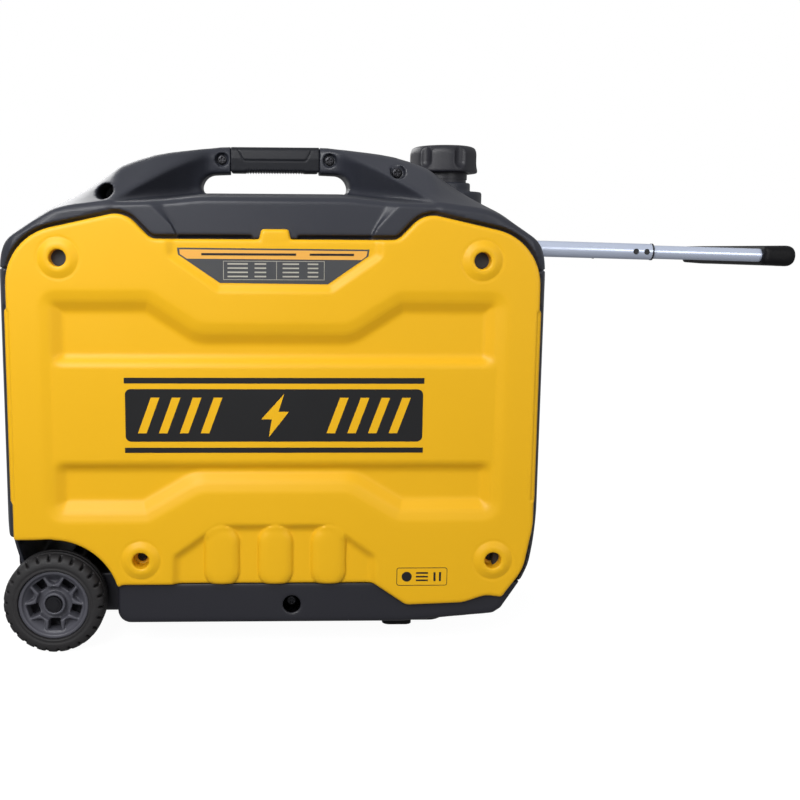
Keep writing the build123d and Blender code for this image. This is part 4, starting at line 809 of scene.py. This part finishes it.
def screws(name, spots, far):
    """Several screw heads in one piece, each (x, z, y of its seat)."""
    points, faces = surface(screw_field, (-6, -4, -6), (6, 3, 6), 0.4)
    sets = [points + [x, y, z] for x, z, y in spots]
    linked = [faces + i * len(points) for i in range(len(spots))]
    points, faces = np.concatenate(sets), np.concatenate(linked)
    if far:
        points, faces = points * [1, -1, 1], faces[:, ::-1]
    return make_piece(name, points, faces, DARK_STEEL, "housing")


SCREW_SPOTS = [(x, z, end - 0.5) for x, z, radius, end in HANDLE_SCREWS + [PAN_HOLE]]
COVER_SPOTS = [(x, z, -CUP_END - 3.0) for x, z in SCREWS]
for tag, far in (("near", False), ("far", True)):
    screws("handle_screws_" + tag, SCREW_SPOTS, far)
    heads = screws("cover_screw_heads_" + tag, COVER_SPOTS, far)
    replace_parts(heads, "cover_screws")


# ---------------------------------------------------------------- printed films
def prism(name, outlines, front, back, material, body="housing"):
    """Flat pieces from outlines in X and Z, between two distances from the middle plane."""
    points, faces = [], []
    for outline in outlines:
        start, count = len(points), len(outline)
        points += [(x, -front, z) for x, z in outline] + [(x, -back, z) for x, z in outline]
        faces.append([start + i for i in range(count)])
        faces.append([start + count + i for i in reversed(range(count))])
        for i in range(count):
            j = (i + 1) % count
            faces.append([start + j, start + i, start + count + i, start + count + j])
    loop = outlines[0]
    area = sum(a[0] * b[1] - b[0] * a[1] for a, b in zip(loop, loop[1:] + loop[:1]))
    if area < 0:
        faces = [f[::-1] for f in faces]
    return make_piece(name, points, faces, material, body, smooth=False)


def film(name, outlines, spot, lift, material):
    """Printed films lying on the flat face of the near cover around a spot."""
    level = float(cover_height(np.array([float(spot[0])]), np.array([float(spot[1])]))[0])
    prism(name, outlines, level + lift, level - 0.6, material)


def bar(x0, z0, x1, z1, lean=0.0):
    """The outline of a bar whose top may be shifted along X."""
    return [(x0, z0), (x1, z0), (x1 + lean, z1), (x0 + lean, z1)]


def disc(x, z, radius, count=32):
    return [(x + radius * cos(2 * pi * i / count), z + radius * sin(2 * pi * i / count))
            for i in range(count)]


BAND_SPOT = (0.0, 262.0)
BOLT = [(-6, 239), (15, 266), (4, 266), (10, 285), (-14, 258), (-3, 258)]
film("decal_band", [rounded(bar(-157, 234, 157, 290), [6] * 4)], BAND_SPOT, 0.25, INK)
film("decal_lines", [bar(-158, 222, 158, 227.5), bar(-158, 296, 158, 302)], BAND_SPOT, 0.25, INK)
film("decal_marks", [BOLT] + [bar(x, 243, x + 9, 281, 14.0)
                              for x in (-144, -122, -100, -78, 55, 77, 99, 121)],
     BAND_SPOT, 0.5, YELLOW)

LABEL_SPOT = (0.0, 415.0)
LABEL_SHAPE = [(-57, 401), (55, 400), (97, 429), (98, 436), (-101, 437), (-100, 430)]
film("label_plate", [LABEL_SHAPE], LABEL_SPOT, 0.3, LABEL_GREY)
LABEL_HEADER = [(-91, 425.8), (90, 425.2), (95, 429.2), (96, 434.3), (-98.5, 435.3), (-98, 430.5)]
film("label_header", [LABEL_HEADER], LABEL_SPOT, 0.5, LABEL_GOLD)
film("label_header_lines", [bar(-76, 429.3, 22, 431.6), bar(36, 429.3, 82, 431.6)],
     LABEL_SPOT, 0.65, INK)
LABEL_ROWS = [(x, z, x + width, z + 1.5) for z in (407.0, 411.3, 415.6, 419.9)
              for x, width in ((-49.0, 21.0), (-21.0, 12.0), (8.0, 17.0), (34.0, 11.0))]
film("label_rows", [bar(*row) for row in LABEL_ROWS] +
     [bar(-53, 404.2, 51, 404.7), bar(-53, 423.2, 51, 423.7), bar(-53.5, 404.2, -53, 423.7),
      bar(51, 404.2, 51.5, 423.7), bar(1.5, 404.7, 2, 423.2)],
     LABEL_SPOT, 0.5, LABEL_LINE)

CORNER_SPOT = (160.0, 86.0)
film("corner_label_edge", [rounded(bar(132, 76, 187, 96), [2.5] * 4)], CORNER_SPOT, 0.2, INK)
film("corner_label_face", [rounded(bar(132.7, 76.7, 186.3, 95.3), [2] * 4)],
     CORNER_SPOT, 0.35, YELLOW)
film("corner_label_marks", [disc(143, 86, 5.5)] +
     [bar(153, z, 166, z + 1.8) for z in (81, 85.1, 89.2)] +
     [bar(x, 81, x + 2.2, 91) for x in (172, 178)], CORNER_SPOT, 0.5, INK)


# ---------------------------------------------------------------- telescopic pull handle
def along_tube(x, z):
    """Distance along the tubes from the collar, and height above their axis."""
    dx, dz = x - COLLAR[0], z - COLLAR[1]
    along_x, rise = cos(TUBE_SLOPE), sin(TUBE_SLOPE)
    return dx * along_x - dz * rise, dx * rise + dz * along_x


def tube_rings(name, start, finish, inner, outer, material, body):
    """A ring round each tube, between two distances from the collar."""
    points, faces = [], []
    profile = ((start, outer), (finish, outer), (finish, inner), (start, inner))
    count = 40
    for side in (-1, 1):
        base = len(points)
        for run, radius in profile:
            for k in range(count):
                turn = 2 * pi * k / count
                rise = radius * sin(turn)
                points.append((COLLAR[0] + run * cos(TUBE_SLOPE) + rise * sin(TUBE_SLOPE),
                               side * TUBE_Y + radius * cos(turn),
                               COLLAR[1] - run * sin(TUBE_SLOPE) + rise * cos(TUBE_SLOPE)))
        for ring in range(4):
            after = (ring + 1) % 4
            for k in range(count):
                n = (k + 1) % count
                faces.append((base + ring * count + k, base + after * count + k,
                              base + after * count + n, base + ring * count + n))
    return make_piece(name, points, faces, material, body, smooth=False)


def pull_grip_field(x, y, z):
    """The rubber grip: a rounded bar with fine ribs underneath and on top."""
    run, rise = along_tube(x, z)
    half = 10.4 + 1.0 * smooth_step(run, 122.0, 150.0)
    flat = np.abs(rise) - half
    body = smooth_max(flat, run - 157.8, 11.0)
    body = smooth_max(body, 121.2 - run, 4.0)
    body = smooth_max(body, np.abs(y) - 119.8, 9.0)
    texture = smooth_step(np.abs((run % 3.0) - 1.5), 0.4, 0.9)
    fine = np.where((np.abs(y) < 92) & (run > 127) & (run < 149), 0.6 * (1 - texture), 0.0)
    body = body + fine
    well = np.maximum(np.maximum(np.abs(y) - 23.0, np.abs(rise) - 6.0), run - 136.0)
    return smooth_max(body, -well, 1.0)


tube_rings("tube_collars", -1.4, 0.3, 7.4, 9.2, GLOSS_BLACK, "handle_stage_1")
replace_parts(mould("pull_grip_skin", pull_grip_field, (536, -121, 418), (577, 121, 445), 1.2,
                  GRIP_RUBBER, "handle_stage_2"), "pull_grip")
prism("tube_dots", [disc(COLLAR[0] + run * cos(TUBE_SLOPE), tube_height(COLLAR[0] + run), 3.1)
                    for run in (-20.0, -8.0)],
      TUBE_Y + 8.9, TUBE_Y + 5.0, INK, "handle_stage_1")


# ---------------------------------------------------------------- stage
def matrix_from(right, up, back, place):
    rows = [[right[i], up[i], back[i], place[i]] for i in range(3)]
    return Matrix(rows + [[0, 0, 0, 1]])


def camera():
    """Looks along +Y from low in front, a little down and to the right, with a side shift."""
    pitch, yaw, roll = radians(8.1), radians(1.9), radians(-0.3)
    ahead = Vector((sin(yaw) * cos(pitch), cos(yaw) * cos(pitch), -sin(pitch)))
    right = Vector((cos(yaw), -sin(yaw), 0))
    up = right.cross(ahead)
    right, up = cos(roll) * right - sin(roll) * up, sin(roll) * right + cos(roll) * up
    place = Vector(((-7.9 + BODY_X) * MM, -1276.3 * MM, 436.1 * MM))
    data = bpy.data.cameras.new("camera")
    data.lens = 47.7
    data.sensor_width = 36.0
    data.shift_x = 0.1225
    data.clip_start = 0.05
    holder = bpy.data.objects.new("camera", data)
    bpy.context.scene.collection.objects.link(holder)
    holder.matrix_world = matrix_from(right, up, -ahead, place)
    bpy.context.scene.camera = holder


def glowing(name, glow, base):
    material, tree, shader = node_material(name)
    shader.inputs["Base Color"].default_value = (base, base, base, 1)
    shader.inputs["Emission Color"].default_value = (1, 1, 1, 1)
    shader.inputs["Emission Strength"].default_value = glow
    shader.inputs["Roughness"].default_value = 1.0
    shader.inputs["Specular IOR Level"].default_value = 0.0
    return material


def stage_piece(name, form, material):
    mesh = bpy.data.meshes.new(name)
    form.to_mesh(mesh)
    mesh.materials.append(material)
    piece = bpy.data.objects.new(name, mesh)
    bpy.context.scene.collection.objects.link(piece)
    piece.visible_diffuse = False
    piece.visible_glossy = False
    piece.visible_transmission = False
    piece.visible_shadow = False


def surroundings():
    """A white floor and a white dome that light nothing themselves."""
    form = bmesh.new()
    size = 25.0
    form.faces.new([form.verts.new(p) for p in ((-size, -size, 0), (size, -size, 0),
                                                (size, size, 0), (-size, size, 0))])
    stage_piece("floor", form, glowing("floor", 0.96, 0.12))
    form = bmesh.new()
    bmesh.ops.create_uvsphere(form, u_segments=48, v_segments=24, radius=30.0)
    stage_piece("backdrop", form, glowing("backdrop", 1.0, 0.0))


def area_light(name, place, target, size, power):
    data = bpy.data.lights.new(name, "AREA")
    data.shape = "RECTANGLE"
    data.size, data.size_y = size
    data.energy = power
    holder = bpy.data.objects.new(name, data)
    holder.location = place
    aim = Vector(target) - Vector(place)
    holder.rotation_euler = aim.to_track_quat("-Z", "Y").to_euler()
    bpy.context.scene.collection.objects.link(holder)


def studio():
    """Soft light: a sky brighter above than below, a wide key from the left and a low fill."""
    world = bpy.data.worlds.new("studio")
    world.use_nodes = True
    tree = world.node_tree
    where = tree.nodes.new("ShaderNodeTexCoord")
    split = tree.nodes.new("ShaderNodeSeparateXYZ")
    level = tree.nodes.new("ShaderNodeMapRange")
    level.inputs["From Min"].default_value = -0.4
    level.inputs["From Max"].default_value = 0.9
    level.inputs["To Min"].default_value = SKY[0]
    level.inputs["To Max"].default_value = SKY[1]
    tree.links.new(where.outputs["Generated"], split.inputs["Vector"])
    tree.links.new(split.outputs["Z"], level.inputs["Value"])
    tree.links.new(level.outputs["Result"], tree.nodes["Background"].inputs["Strength"])
    tree.nodes["Background"].inputs["Color"].default_value = (0.97, 0.98, 1.0, 1)
    bpy.context.scene.world = world
    bpy.context.scene.view_settings.view_transform = "Standard"
    area_light("key", (-0.9, -2.0, 1.35), (-0.15, -0.17, 0.35), (1.2, 1.0), 30)
    area_light("corner", (-0.55, -0.75, 1.0), (-0.3, -0.17, 0.4), (0.5, 0.5), 3.6)
    area_light("back", (-1.2, 1.9, 1.5), (0, 0.1, 0.25), (1.4, 1.2), 26)
    area_light("fill", (1.4, -2.2, 0.9), (0.1, -0.17, 0.3), (1.2, 0.8), 9)


SKY = (0.24, 0.50)

camera()
surroundings()
studio()
